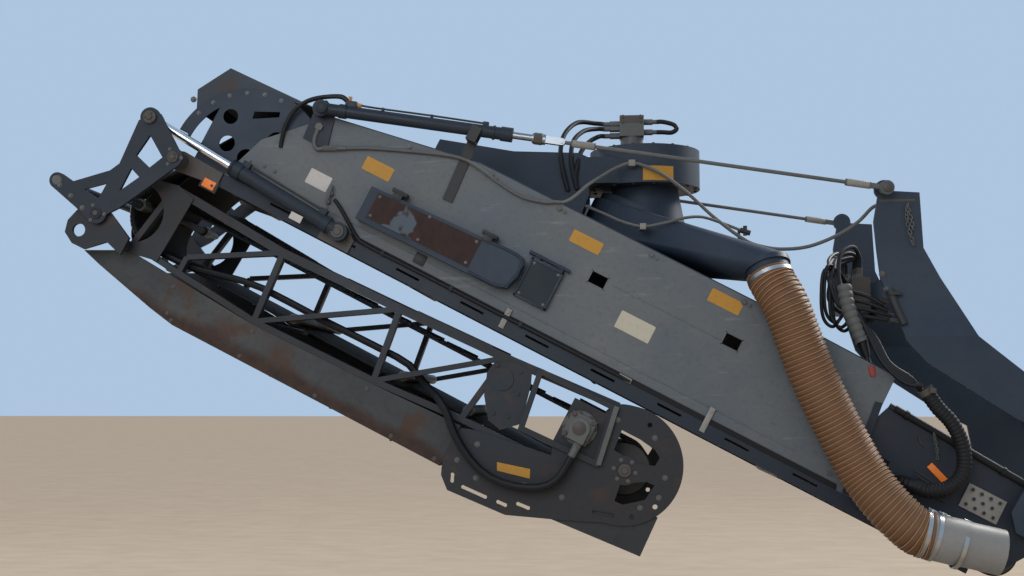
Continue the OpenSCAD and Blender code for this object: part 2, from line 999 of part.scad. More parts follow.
module fold_cranks() {
    color([0.2, 0.23, 0.27])
        boom_axes() {
            both_sides(crank_y, crank_t)
                crank_outline();
            both_sides(crank_y + crank_t, 14)
                translate(rod_pin)
                    circle(r = 40);
            cross_bar(tip_tube, 24, crank_y + 1);
            cross_bar(fold_pivot + [122, -338], 24, crank_y + 1);
        }
}

// Folding section

module truss_outline() {
    bars(top_nodes, chord_h);
    bars(low_nodes, low_chord_h);
    for (i = [1 : 3])
        bar(low_nodes[i], top_nodes[i], 34);
    bar([543, 10], top_nodes[1], 30);
    bar([543, 10], [543, -100], 30);
    bar(low_nodes[1], top_nodes[2], 30);
    bar(low_nodes[2], top_nodes[3], 30);
    bar(low_nodes[0], top_nodes[0], 34);
    bar(low_nodes[4], top_nodes[4], 34);
}

module section_truss() {
    color([0.2, 0.22, 0.26])
        section_axes() {
            both_sides(half_w - chord_w, chord_w)
                truss_outline();
            for (i = [1 : 3])
                translate([
                    low_nodes[i][0] - 15, low_nodes[i][1] - (i == 3 ? 23 : 13), -half_w + chord_w - 1
                ])
                    cube([30, 26, 2 * (half_w - chord_w + 1)]);
            for (p = [[1058, 45], [1834, 60]])
                translate([p[0] - 15, p[1] - 20, -half_w + chord_w - 2])
                    cube([30, 40, 7 - seat]);
        }
}

module end_plate_outline() {
    difference() {
        polygon([
            [170, 330], [300, 360], [420, 330], [400, -90], [200, -130], [60, -100], [80, 100]
        ]);
        translate([136, 102])
            circle(r = 180);
    }
}

module hook_outline() {
    difference() {
        union() {
            circle(r = 62);
            polygon([
                [-119, -14], [-146, -113], [-128, -182], [-59, -220], [22, -218], [124, -120], [230, -150],
                [230, -40], [60, 40], [-60, 30]
            ]);
        }
        translate([-59, -134])
            circle(r = 38);
    }
}

module section_end_plates() {
    color([0.2, 0.23, 0.27])
        section_axes() {
            both_sides(half_w, 12)
                end_plate_outline();
            both_sides(hook_y, hook_t)
                hook_outline();
            side_pins([200, -90], 30, half_w, hook_y);
            side_pins([0, 0], 45, hook_y, crank_y - seat);
            side_pins([0, 0], crank_pin_r, hook_y, crank_y + crank_t + 10);
        }
}

module cover_outline() {
    polygon([
        [-26, -233], [103, -267], [493, -351], [657, -378], [2425, -368], [2425, -111], [1860, -137.5],
        [1075, -157.5], [216, -110]
    ]);
}

module section_cover() {
    color([0.25, 0.24, 0.24])
        section_axes()
            difference() {
                translate([0, 0, -half_w])
                    linear_extrude(2 * half_w)
                        cover_outline();
                translate([0, 0, -half_w + sheet_t])
                    linear_extrude(2 * (half_w - sheet_t))
                        translate([0, sheet_t])
                            cover_outline();
            }
}

module section_belt() {
    color([0.07, 0.07, 0.075])
        section_axes()
            translate([0, 0, -belt_w / 2])
                linear_extrude(belt_w)
                    difference() {
                        union() {
                            translate(head_c)
                                circle(r = head_drum_r + belt_t);
                            translate([270, head_c[1] - head_drum_r - belt_t])
                                square([head_c[0] - 270, 2 * (head_drum_r + belt_t)]);
                        }
                        translate(head_c)
                            circle(r = head_drum_r);
                        translate([269, head_c[1] - head_drum_r])
                            square([head_c[0] - 269, 2 * head_drum_r]);
                    }
}

module section_idlers() {
    color([0.3, 0.3, 0.31])
        section_axes()
            for (p = [1264, 1990, 2417])
                cross_bar([p, head_c[1] - head_drum_r + 30 + seat], 30, half_w - chord_w);
}

ring_c = [3342, 118];

module head_outline() {
    difference() {
        union() {
            intersection() {
                translate(ring_c)
                    circle(r = head_r, $fn = 96);
                polygon([[3134, 400], [3212, 39], [3190, -260], [3800, -260], [3800, 500], [3134, 500]]);
            }
            polygon([
                [2510, -95], [2435, -120], [2416, -220], [2428, -341], [2457, -408], [2527, -467],
                [2882, -437], [3169, -317], [3400, -212], [3400, 0], [3212, 60], [2960, -20]
            ]);
            polygon([
                [2930, 60], [2960, -22], [3160, 10], [3220, 140], [3140, 390], [3120, 330], [2930, 330]
            ]);
        }
        translate(head_c)
            circle(r = 36 + run);
        difference() {
            polygon([
                [3247, 290], [3362, 290], [3461, 277], [3506, 250], [3502, 197], [3400, 160], [3258, 170]
            ]);
            translate(head_c)
                circle(r = 82);
        }
        difference() {
            polygon([[3390, -82], [3375, 22], [3500, 96], [3549, 100], [3538, 3], [3440, -78]]);
            translate(head_c)
                circle(r = 82);
        }
        for (p = [[3373, 388], [3517, -114], [3605, -5]])
            translate(p)
                circle(r = 14);
        for (slot = [
            [[2599, -410], [2736, -401]], [[2814, -391], [2857, -388]], [[2919, -348], [2979, -342]],
            [[2514, -376], [2528, -408]], [[3318, -188], [3418, -158]]
        ]) {
            bar(slot[0], slot[1], 20);
            for (p = slot)
                translate(p)
                    circle(r = 11);
        }
    }
}

module head_plates() {
    color([0.2, 0.23, 0.27])
        section_axes()
            both_sides(half_w, 14)
                head_outline();
}

module head_drum() {
    color([0.35, 0.33, 0.3])
        section_axes() {
            cross_bar(head_c, head_drum_r - seat, belt_w / 2 + 20);
            cross_bar(head_c, 36, half_w + 24);
        }
}

module drive_motor() {
    out = -half_w - 14;
    color([0.4, 0.42, 0.42])
        section_axes() {
            translate([3032, 190, out - 18])
                cylinder(r = 98, h = 18);
            translate([2957, 115, out - 74])
                cube([150, 150, 56]);
            translate([3032, 190, out - 116])
                cylinder(r = 58, h = 42);
            for (k = [0, 1])
                translate([drive_hose_end[0], drive_hose_end[1] + seat, drive_hose_y(k) - drive_hose_out])
                    rotate([-90, 0, 0])
                        cylinder(r = 16, h = 40);
            translate([2990, 88 + 28, out - 116])
                cube([100, 60, 116 - 18]);
        }
}

module motor_carrier() {
    color([0.2, 0.23, 0.27])
        section_axes()
            translate([0, 0, -half_w - 12]) {
                linear_extrude(12)
                    polygon([
                        [2420, 228], [2434, 300], [2536, 352], [2647, 346], [2676, 278], [2727, 57],
                        [2637, -28], [2551, -10], [2465, 105]
                    ]);
                translate([2514, 232, -8])
                    cylinder(r = 66, h = 8);
                for (p = [[2455, 292], [2590, 318], [2630, 200], [2640, 60], [2558, 38]])
                    translate([p[0], p[1], -10])
                        cylinder(r = 13, h = 10, $fn = 6);
            }
}

module deflector() {
    color([0.12, 0.12, 0.13])
        section_axes()
            union() {
                both_sides(half_w - 12, 12)
                    polygon([
                        [3060, -300], [3087, -341], [3656, -289], [3646, -51], [3500, -50], [3200, -240]
                    ]);
                translate([0, 0, -half_w])
                    linear_extrude(2 * half_w)
                        polygon([[3087, -341], [3656, -289], [3655, -283], [3086, -335]]);
            }
}

drive_hose_r = 20;
// How far out of the truss the hoses step, and where they end under the motor's ports
drive_hose_out = 178;
drive_hose_end = [3063, 88];

// Lateral place of the drive hoses inside the truss, the outer one first
function drive_hose_y(k) = -half_w + chord_w + 25 + (2 * drive_hose_r + 12) * k;

module drive_hoses() {
    color([0.05, 0.05, 0.055])
        section_axes()
            for (k = [0, 1])
                translate([0, 0, drive_hose_y(k)])
                    hose([
                        [330, -42, 0], [470, -40, 0], [626, -22, 0], [800, 18, 0], [1000, 50, 0],
                        [1400, 50, 0], [1900, 60, 0], [2020, 40, 0], [2100, 6, -8], [2170, -15, -70],
                        [2235, -28, -140], [2290, -55, -172], [2340, -90, -177], [2428, -168, -177],
                        [2568, -250, -178], [2712, -284, -178],
                        [2859, -263, -drive_hose_out], [2986, -203, -drive_hose_out],
                        [3047, -126, -drive_hose_out], [3063, -31, -drive_hose_out],
                        [drive_hose_end[0], drive_hose_end[1], -drive_hose_out]
                    ], drive_hose_r, 2);
}

// Where the belt's two strands pass from the boom's side to the cranks' side
outer_turn = fold_pivot + [130, -150];
inner_turn = fold_pivot + [-8, -60];
section_end = [knuckle[0] - 270, knuckle[1] + head_c[1]];
belt_mid_r = head_drum_r + belt_t / 2;

module belt_band() {
    color([0.07, 0.07, 0.075])
        boom_axes()
            translate([0, 0, -belt_w / 2])
                linear_extrude(belt_w)
                    children();
}

module belt_bend_upper() {
    belt_band() {
        bars([
            [belt_end_u + seat, carry_v], [belt_end_u + 30, carry_v], fold_pivot + [60, -20],
            outer_turn + [-1, 4]
        ], belt_t);
        bars([
            [belt_end_u + seat, return_v], [belt_end_u + 30, return_v], fold_pivot + [-60, 18],
            inner_turn + [-1, 6]
        ], belt_t);
    }
}

module belt_bend_lower() {
    belt_band() {
        bars([
            outer_turn, fold_pivot + [172, -400], knuckle + [-130, -60], section_end + [25, -belt_mid_r],
            section_end + [seat, -belt_mid_r]
        ], belt_t);
        bars([
            inner_turn, fold_pivot + [26, -160], section_end + [22, belt_mid_r],
            section_end + [seat, belt_mid_r]
        ], belt_t);
    }
}

// Drive hoses round the elbow, as [u, v], on from the ones along the section
elbow_turn = fold_pivot + [144, -249];
elbow_upper = [
    fold_pivot + [-278, 3], fold_pivot + [-178, 3], fold_pivot + [-88, -1], fold_pivot + [7, -47],
    fold_pivot + [90, -147], elbow_turn + [-2, 4]
];
elbow_lower = [
    elbow_turn, fold_pivot + [170, -339], fold_pivot + [117, -454], fold_pivot + [17, -524],
    knuckle + [-329.7, -42]
];

module elbow_hoses(route) {
    color([0.05, 0.05, 0.055])
        boom_axes()
            for (k = [0, 1])
                hose([for (p = route) [p[0], p[1], drive_hose_y(k)]], drive_hose_r, 3);
}

module elbow_hoses_upper() {
    elbow_hoses(elbow_upper);
}

module elbow_hoses_lower() {
    elbow_hoses(elbow_lower);
}

// Sleeve round the hoses that pass from the console to the boom's tail
sleeve_r = 42;
sleeve_end = [730, -150];

module tail_sleeve() {
    boom_end = [
        luff_x - sleeve_end[0] * cos(boom_angle) + sleeve_end[1] * sin(boom_angle), -half_w - seat,
        luff_z + sleeve_end[0] * sin(boom_angle) + sleeve_end[1] * cos(boom_angle)
    ];
    color([0.05, 0.05, 0.055])
        hose([
            [-985, -807.3, 1190], [-1015, -807.3, 1140], [-1045, -810, 1060], [-1030, -810, 960],
            [-970, -808, 870], [-895, -805, 785], [-845, -800, 680], [-832, -800, 570], [-862, -804, 485],
            [-935, -806, 430], [-1030, -800, 418], boom_end + [56, -92, -12], boom_end + [0, -46, 0],
            boom_end + [0, -23, 0], boom_end
        ], sleeve_r, 2, 12, [1, 1, 1]);
}

// Hoses from the fan's motor to the duct beside it
module fan_hoses() {
    top = fan_c[1] + fan_h / 2 + 150;
    left = fan_c[0] - 157;
    beside = -315.3;
    color([0.05, 0.05, 0.055]) {
        hose([
            [left - 1, -40, top], [left - 30, -40, top], [left - 90, -60, top + 24],
            [left - 244, -170, top + 10], [left - 340, -290, top - 80], [left - 368, -317, top - 150],
            [left - 374, beside, top - 215], [left - 344, beside, top - 300]
        ], 15, up = [0, 1, 0]);
        hose([
            [left, -10, top - 38], [left - 30, -10, top - 38], [left - 90, -30, top - 32],
            [left - 190, -150, top - 60], [left - 250, -275, top - 115], [left - 266, -317, top - 165],
            [left - 268, beside, top - 225], [left - 235, beside, top - 290]
        ], 15, up = [0, 1, 0]);
    }
}

console_arm_near();
console_arm_far();
console_cross_members();
valve_block();
console_hoses();
boom_frame();
tail_plates();
tail_drum();
boom_belt();
carrying_idlers();
return_idlers();
hood_wall_near();
hood_wall_far();
hood_roof();
elbow_plates();
visor();
side_box();
access_hatch();
duct_upper();
duct_lower();
fan_housing();
fan_motor();
extraction_hose();
hose_pipe();
luff_brackets();
rest_brackets();
boom_pins();
luff_barrels();
luff_rods();
luff_ropes();
fold_barrels();
fold_rods();
fold_cranks();
section_truss();
section_end_plates();
section_cover();
section_belt();
section_idlers();
head_plates();
head_drum();
drive_motor();
motor_carrier();
deflector();
drive_hoses();
belt_bend_upper();
belt_bend_lower();
elbow_hoses_upper();
elbow_hoses_lower();
tail_sleeve();
fan_hoses();
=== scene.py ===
import json
import math

import bmesh
import bpy
from mathutils import Matrix, Vector


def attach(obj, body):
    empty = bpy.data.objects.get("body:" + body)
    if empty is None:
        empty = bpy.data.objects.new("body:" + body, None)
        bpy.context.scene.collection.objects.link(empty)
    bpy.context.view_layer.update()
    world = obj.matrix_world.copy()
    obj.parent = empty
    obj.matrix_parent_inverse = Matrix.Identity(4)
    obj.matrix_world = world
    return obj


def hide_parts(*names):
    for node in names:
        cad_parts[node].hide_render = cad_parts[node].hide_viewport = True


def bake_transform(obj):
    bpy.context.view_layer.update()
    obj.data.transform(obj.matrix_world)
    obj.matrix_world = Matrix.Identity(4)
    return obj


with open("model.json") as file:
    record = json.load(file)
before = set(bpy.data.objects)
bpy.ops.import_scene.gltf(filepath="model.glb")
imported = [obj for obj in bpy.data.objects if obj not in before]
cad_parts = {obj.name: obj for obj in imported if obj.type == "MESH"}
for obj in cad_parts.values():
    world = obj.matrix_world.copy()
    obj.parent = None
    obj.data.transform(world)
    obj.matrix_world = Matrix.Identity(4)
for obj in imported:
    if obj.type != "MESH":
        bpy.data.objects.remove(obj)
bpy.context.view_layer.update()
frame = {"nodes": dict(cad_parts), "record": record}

# The boom's axes: u up the boom, v square to it, y across the machine
BOOM_ANGLE = math.radians(27.5)
LUFF_X, LUFF_Z = -0.440, 0.250
U_AXIS = Vector((-math.cos(BOOM_ANGLE), 0, math.sin(BOOM_ANGLE)))
V_AXIS = Vector((math.sin(BOOM_ANGLE), 0, math.cos(BOOM_ANGLE)))
Y_AXIS = Vector((0, 1, 0))
LUFF_PIVOT = Vector((LUFF_X, 0, LUFF_Z))

# Sizes and places that part.scad has too, in metres
BOOM_L = 5.160
HALF_W = 0.700
WALL_OUT = 0.690
FOLD_PIVOT = (BOOM_L + 0.058, -0.401)
KNUCKLE = (FOLD_PIVOT[0] + 0.248, FOLD_PIVOT[1] - 0.491)
ROD_PIN = (FOLD_PIVOT[0] + 0.234, FOLD_PIVOT[1] + 0.144)
FOLD_BASE = (FOLD_PIVOT[0] - 1.044, FOLD_PIVOT[1] + 0.056)
LUFF_PIN = (BOOM_L - 0.560, 0.250)
EAR = Vector((-1.200, 0, 2.093))
FAN = Vector((-2.526, 0, 2.330))
FAN_H = 0.236
HEAD_C = (3.363, 0.096)
MOTOR_C = (3.032, 0.190)

# Faces on the near side
WALL = -WALL_OUT
TAIL_FACE = -(HALF_W - 0.020)
ARM_FACE = -(HALF_W - 0.015)

# How far from the machine's middle the plates' faces and the cylinders' centres are
HEAD_OUT = HALF_W + 0.014
CRANK_OUT = HALF_W + 0.160
LUFF_OUT = HALF_W + 0.052
FOLD_OUT = HALF_W + 0.075


def boom_point(u, v, y=0.0):
    return LUFF_PIVOT + U_AXIS * u + V_AXIS * v + Y_AXIS * y


# Camera, floor and light

def shown(name, data):
    """An object with this data, in the scene."""
    obj = bpy.data.objects.new(name, data)
    bpy.context.collection.objects.link(obj)
    return obj


def make_camera():
    data = bpy.data.cameras.new("view")
    data.sensor_width = 36.0
    data.lens = 45.77
    data.clip_end = 200.0
    cam = shown("view", data)
    cam.location = (-2.75, -8.1, 0.909)
    cam.rotation_euler = (math.radians(90 + 4.917), 0, math.radians(4.304))
    bpy.context.scene.camera = cam


def make_floor(material):
    mesh = bpy.data.meshes.new("floor")
    bm = bmesh.new()
    bmesh.ops.create_grid(bm, x_segments=1, y_segments=1, size=120.0,
                          matrix=Matrix.Translation((-2.7, 0, -0.69)))
    bm.to_mesh(mesh)
    bm.free()
    floor = shown("floor", mesh)
    mesh.materials.append(material)


def area_lamp(name, place, aim, size, power, colour):
    data = bpy.data.lights.new(name, "AREA")
    data.shape = "SQUARE"
    data.size = size
    data.energy = power
    data.color = colour
    lamp = shown(name, data)
    lamp.location = place
    way = Vector(aim) - Vector(place)
    lamp.rotation_euler = way.to_track_quat("-Z", "Y").to_euler()


def new_node(tree, kind, inputs=None, **settings):
    """A shader node with its settings, and with values on its own sockets."""
    node = tree.nodes.new(kind)
    for name, value in settings.items():
        setattr(node, name, value)
    for socket, value in (inputs or {}).items():
        node.inputs[socket].default_value = value
    return node


def make_light():
    area_lamp("key", (5.0, 5.0, 8.5), (-2.8, 0, 1.4), 4.0, 1500, (1.0, 0.97, 0.92))
    area_lamp("fill", (-6.0, -11.0, 5.0), (-2.8, 0, 1.2), 7.0, 520, (0.93, 0.96, 1.0))
    area_lamp("side", (-11.0, 2.0, 5.0), (-3.5, 0, 1.4), 5.0, 420, (0.95, 0.97, 1.0))
    world = bpy.data.worlds.new("studio")
    bpy.context.scene.world = world
    world.use_nodes = True
    tree = world.node_tree
    tree.nodes.clear()
    sky = new_node(tree, "ShaderNodeBackground", {"Color": (0.42, 0.56, 0.74, 1), "Strength": 1.0})
    lit = new_node(tree, "ShaderNodeBackground", {"Color": (0.88, 0.93, 1.0, 1), "Strength": 0.62})
    path = new_node(tree, "ShaderNodeLightPath")
    seen = new_node(tree, "ShaderNodeMath", operation="MAXIMUM")
    mix = new_node(tree, "ShaderNodeMixShader")
    out = new_node(tree, "ShaderNodeOutputWorld")
    tree.links.new(path.outputs["Is Camera Ray"], seen.inputs[0])
    tree.links.new(path.outputs["Is Glossy Ray"], seen.inputs[1])
    tree.links.new(seen.outputs["Value"], mix.inputs["Fac"])
    tree.links.new(lit.outputs["Background"], mix.inputs[1])
    tree.links.new(sky.outputs["Background"], mix.inputs[2])
    tree.links.new(mix.outputs["Shader"], out.inputs["Surface"])


# Finishes

SPECULAR = 0.28
RUST = (0.066, 0.032, 0.020)

# Two noise masks that several finishes share: scale, low, high and detail
DUST_PATCHES = (1.6, 0.35, 0.72, 6.0)
SPECKS = (38.0, 0.52, 0.78, 3.0)


def new_material(name, seen_colour, **inputs):
    """A material with one shader, and the plain colour that a viewport shows for it."""
    mat = bpy.data.materials.new(name)
    mat.use_nodes = True
    tree = mat.node_tree
    tree.nodes.clear()
    out = new_node(tree, "ShaderNodeOutputMaterial")
    shader = new_node(tree, "ShaderNodeBsdfPrincipled", inputs)
    tree.links.new(shader.outputs["BSDF"], out.inputs["Surface"])
    mat.diffuse_color = (*seen_colour, 1)
    return mat, shader


def plain_finish(name, colour, rough, metal):
    mat, shader = new_material(name, colour, Roughness=rough, Metallic=metal)
    shader.inputs["Base Color"].default_value = (*colour, 1)
    return mat


def noise_mask(mat, scale, low, high, detail=6.0, stretch=(1, 1, 1)):
    """A soft-edged patchy mask over the piece's own coordinates."""
    tree = mat.node_tree
    coords = new_node(tree, "ShaderNodeTexCoord")
    mapping = new_node(tree, "ShaderNodeMapping", {"Scale": stretch})
    noise = new_node(tree, "ShaderNodeTexNoise", {"Scale": scale, "Detail": detail, "Roughness": 0.6})
    spread = new_node(tree, "ShaderNodeMapRange", {"From Min": low, "From Max": high})
    tree.links.new(coords.outputs["Object"], mapping.inputs["Vector"])
    tree.links.new(mapping.outputs["Vector"], noise.inputs["Vector"])
    tree.links.new(noise.outputs["Fac"], spread.inputs["Value"])
    return spread.outputs["Result"]


def layer(mat, under, over, mask):
    """Lays a colour, or another layer, over one where the mask is white."""
    mix = new_node(mat.node_tree, "ShaderNodeMix", data_type="RGBA")
    for colour, socket in ((under, mix.inputs["A"]), (over, mix.inputs["B"])):
        if isinstance(colour, tuple):
            socket.default_value = (*colour, 1)
        else:
            mat.node_tree.links.new(colour, socket)
    mat.node_tree.links.new(mask, mix.inputs["Factor"])
    return mix.outputs["Result"]


def scaled(mat, value, factor):
    node = new_node(mat.node_tree, "ShaderNodeMath", {1: factor}, operation="MULTIPLY")
    mat.node_tree.links.new(value, node.inputs[0])
    return node.outputs["Value"]


def painted(name, base, dust, dusty=0.6, rough=(0.42, 0.75), rust=0.0, scratches=0.0):
    """Paint on steel with dust in patches, fine specks, and rust or scratches where asked."""
    mat, shader = new_material(name, base)
    links = mat.node_tree.links
    patches = noise_mask(mat, *DUST_PATCHES)
    colour = layer(mat, base, dust, scaled(mat, patches, dusty))
    colour = layer(mat, colour, tuple(0.55 * c for c in base), scaled(mat, noise_mask(mat, *SPECKS), 0.35))
    if scratches:
        marks = noise_mask(mat, 9.0, 0.60, 0.70, detail=9.0, stretch=(0.35, 1.0, 2.6))
        colour = layer(mat, colour, tuple(1.5 * c for c in dust), scaled(mat, marks, scratches))
    if rust:
        spots = noise_mask(mat, 7.0, 0.56, 0.70, detail=8.0)
        colour = layer(mat, colour, RUST, scaled(mat, spots, rust))
    links.new(colour, shader.inputs["Base Color"])
    spread = new_node(mat.node_tree, "ShaderNodeMapRange", {"To Min": rough[0], "To Max": rough[1]})
    links.new(patches, spread.inputs["Value"])
    links.new(spread.outputs["Result"], shader.inputs["Roughness"])
    shader.inputs["Specular IOR Level"].default_value = SPECULAR
    return mat


def floor_finish(name):
    """Pale gravel, kept even toward the horizon by a share of its own light that only the view sees."""
    mat, shader = new_material(name, (0.40, 0.32, 0.25), Roughness=0.9)
    tree = mat.node_tree
    grain = noise_mask(mat, 5.0, 0.30, 0.72, detail=9.0, stretch=(0.5, 1.0, 1.0))
    colour = layer(mat, (0.43, 0.355, 0.28), (0.49, 0.41, 0.33), grain)
    glow = new_node(tree, "ShaderNodeEmission")
    path = new_node(tree, "ShaderNodeLightPath")
    mix = new_node(tree, "ShaderNodeMixShader")
    out = next(node for node in tree.nodes if node.type == "OUTPUT_MATERIAL")
    tree.links.new(colour, shader.inputs["Base Color"])
    tree.links.new(colour, glow.inputs["Color"])
    tree.links.new(scaled(mat, path.outputs["Is Camera Ray"], 0.75), mix.inputs["Fac"])
    tree.links.new(shader.outputs["BSDF"], mix.inputs[1])
    tree.links.new(glow.outputs["Emission"], mix.inputs[2])
    tree.links.new(mix.outputs["Shader"], out.inputs["Surface"])
    return mat


def rim_rusted(name):
    """Grey paint that has gone brown along the cover's bent rim, and in a few patches above it."""
    mat, shader = new_material(name, (0.05, 0.05, 0.05), Roughness=0.7)
    tree = mat.node_tree
    paint = layer(mat, (0.034, 0.037, 0.042), (0.088, 0.086, 0.080),
                  scaled(mat, noise_mask(mat, *DUST_PATCHES), 0.75))
    paint = layer(mat, paint, (0.016, 0.016, 0.017), scaled(mat, noise_mask(mat, *SPECKS), 0.35))
    spots = noise_mask(mat, 3.4, 0.57, 0.66, detail=9.0)
    paint = layer(mat, paint, (0.062, 0.031, 0.019), scaled(mat, spots, 0.8))
    brown = layer(mat, (0.052, 0.027, 0.018), (0.026, 0.017, 0.014), noise_mask(mat, 16.0, 0.35, 0.7))
    # The rim is where the height square to the boom, with a little wander, is low
    coords = new_node(tree, "ShaderNodeTexCoord")
    height = new_node(tree, "ShaderNodeVectorMath", {1: tuple(V_AXIS)}, operation="DOT_PRODUCT")
    wander = new_node(tree, "ShaderNodeMath", {1: -0.07}, operation="MULTIPLY_ADD")
    low = boom_point(BOOM_L, KNUCKLE[1] - 0.3755).dot(V_AXIS)
    rim = new_node(tree, "ShaderNodeMapRange", {"From Min": low + 0.065, "From Max": low + 0.015})
    tree.links.new(coords.outputs["Object"], height.inputs[0])
    tree.links.new(noise_mask(mat, 5.0, 0.2, 0.8, detail=8.0), wander.inputs[0])
    tree.links.new(height.outputs["Value"], wander.inputs[2])
    tree.links.new(wander.outputs["Value"], rim.inputs["Value"])
    tree.links.new(layer(mat, paint, brown, rim.outputs["Result"]), shader.inputs["Base Color"])
    shader.inputs["Specular IOR Level"].default_value = SPECULAR
    return mat


def rusted_panel(name):
    """A rust-brown panel with a patch of the old grey paint left on it."""
    mat, shader = new_material(name, (0.09, 0.04, 0.02), Roughness=0.72)
    colour = layer(mat, (0.036, 0.016, 0.012), (0.016, 0.010, 0.009),
                   noise_mask(mat, 14.0, 0.35, 0.75, detail=8.0))
    streaks = noise_mask(mat, 26.0, 0.52, 0.80, detail=5.0, stretch=(1.0, 1.0, 0.3))
    colour = layer(mat, colour, (0.080, 0.034, 0.022), scaled(mat, streaks, 0.4))
    patch = noise_mask(mat, 2.6, 0.515, 0.535, detail=4.0)
    mat.node_tree.links.new(layer(mat, colour, (0.070, 0.088, 0.110), patch), shader.inputs["Base Color"])
    shader.inputs["Specular IOR Level"].default_value = SPECULAR
    return mat


# The bases and dusts here are set darker than the real paints, at about half, to their look in shade under a
# back light: painted shade
# Each paint's base, its dust, how dusty it is, its smoothest and roughest, its rust and its scratches
PAINTS = {
    "frame_paint": ((0.012, 0.018, 0.029), (0.040, 0.045, 0.051), 0.5, (0.42, 0.75), 0.12),
    "hood_paint": ((0.088, 0.104, 0.120), (0.160, 0.163, 0.158), 0.75, (0.5, 0.8), 0.05, 0.35),
    "duct_paint": ((0.015, 0.025, 0.042), (0.045, 0.055, 0.068), 0.5),
    "cover_paint": ((0.026, 0.026, 0.027), (0.080, 0.074, 0.066), 0.7, (0.55, 0.85), 0.8),
    "console_paint": ((0.020, 0.032, 0.051), (0.055, 0.067, 0.080), 0.45),
    "cylinder_paint": ((0.011, 0.017, 0.027), (0.038, 0.046, 0.054), 0.45),
    "zinc": ((0.100, 0.102, 0.102), (0.075, 0.072, 0.067), 0.6, (0.35, 0.6)),
    "bare_steel": ((0.060, 0.058, 0.056), (0.100, 0.078, 0.060), 0.5, (0.4, 0.7), 0.4),
    "belt_rubber": ((0.008, 0.008, 0.009), (0.030, 0.028, 0.026), 0.4, (0.7, 0.9)),
    "hose_rubber": ((0.006, 0.006, 0.007), (0.022, 0.022, 0.022), 0.35, (0.45, 0.75)),
    "extraction_hose": ((0.125, 0.062, 0.030), (0.200, 0.125, 0.070), 0.5, (0.5, 0.8)),
    "hatch_paint": ((0.004, 0.010, 0.015), (0.014, 0.023, 0.028), 0.45),
    "box_rust": ((0.055, 0.030, 0.026), (0.085, 0.066, 0.058), 0.6, (0.6, 0.9), 0.35),
    "hose_wire": ((0.36, 0.195, 0.095), (0.30, 0.19, 0.11), 0.5, (0.4, 0.65)),
    "pale_steel": ((0.25, 0.24, 0.22), (0.16, 0.15, 0.13), 0.6, (0.4, 0.7), 0.25),
    "pipe_grey": ((0.235, 0.235, 0.230), (0.150, 0.140, 0.125), 0.6, (0.35, 0.6)),
    "visor_paint": ((0.024, 0.034, 0.047), (0.060, 0.060, 0.058), 0.5, (0.42, 0.75), 0.7),
    "section_paint": ((0.014, 0.018, 0.024), (0.052, 0.044, 0.038), 0.55, (0.42, 0.75), 0.55),
    "sign_yellow": ((0.46, 0.22, 0.020), (0.28, 0.19, 0.07), 0.45, (0.4, 0.7)),
    "sign_white": ((0.50, 0.48, 0.46), (0.36, 0.33, 0.30), 0.4, (0.4, 0.7)),
    "sign_cream": ((0.48, 0.45, 0.36), (0.34, 0.31, 0.25), 0.4, (0.4, 0.7)),
    "black_paint": ((0.018, 0.019, 0.021), (0.07, 0.068, 0.064), 0.4, (0.4, 0.7)),
    "brass": ((0.42, 0.22, 0.09), (0.25, 0.16, 0.10), 0.4, (0.3, 0.6)),
    "cable_grey": ((0.085, 0.088, 0.088), (0.16, 0.155, 0.145), 0.5, (0.5, 0.8)),
    "red_cap": ((0.30, 0.045, 0.040), (0.22, 0.10, 0.08), 0.5, (0.4, 0.7)),
    "reflector_orange": ((0.85, 0.20, 0.02), (0.60, 0.22, 0.06), 0.3, (0.2, 0.5)),
}

# Each bare metal's colour, its roughness and its metal share
METALS = {
    "chrome_rod": ((0.62, 0.63, 0.64), 0.14, 1.0),
    "clamp_steel": ((0.42, 0.42, 0.41), 0.34, 1.0),
    "rod_steel": ((0.26, 0.27, 0.28), 0.3, 1.0),
}

FINISH = {name: painted(name, *paint) for name, paint in PAINTS.items()}
FINISH.update({name: plain_finish(name, *metal) for name, metal in METALS.items()})
FINISH["cover_rusted"] = rim_rusted("cover_rusted")
FINISH["panel_rust"] = rusted_panel("panel_rust")

# CAD nodes whose finish differs from the rest of their slot
NODE_FINISH = {
    "hose_pipe": "pipe_grey", "visor": "visor_paint", "deflector": "black_paint", "side_box": "duct_paint",
    "section_truss": "section_paint", "head_plates": "section_paint", "section_end_plates": "section_paint",
    "motor_carrier": "section_paint", "rest_brackets": "black_paint", "luff_ropes": "cable_grey",
    "luff_rods": "rod_steel", "section_cover": "cover_rusted",
}

# Axes of the object's own parts: each turns local x, y and z into the frame's
BOOM = Matrix.Translation(LUFF_PIVOT) @ Matrix((U_AXIS, V_AXIS, Y_AXIS)).transposed().to_4x4()
SECTION = BOOM @ Matrix.Translation((*KNUCKLE, 0)) @ Matrix.Diagonal((-1, 1, 1, 1))

# In those axes, local z points to the far side: each side's sign and its way out
SIDES = [(side, Vector((0, 0, side))) for side in (-1, 1)]
NEAR_WAY = (0, 0, -1)
X_WAY = (1, 0, 0)


def along(place, way):
    """Axes at a place with local z along a way."""
    return Matrix.Translation(place) @ Vector(way).to_track_quat("Z", "Y").to_matrix().to_4x4()


def around(centre, r, angles):
    """Points of a plane on a circle, at angles in degrees."""
    return [(centre[0] + r * math.cos(math.radians(a)), centre[1] + r * math.sin(math.radians(a)))
            for a in angles]


def rectangle(u, v, wide, high):
    """The corners of a rectangle about its middle."""
    return [(u - wide / 2, v - high / 2), (u + wide / 2, v - high / 2),
            (u + wide / 2, v + high / 2), (u - wide / 2, v + high / 2)]


# Shapes

def new_parts(made, kind):
    return [part for part in made["geom"] if isinstance(part, kind)]


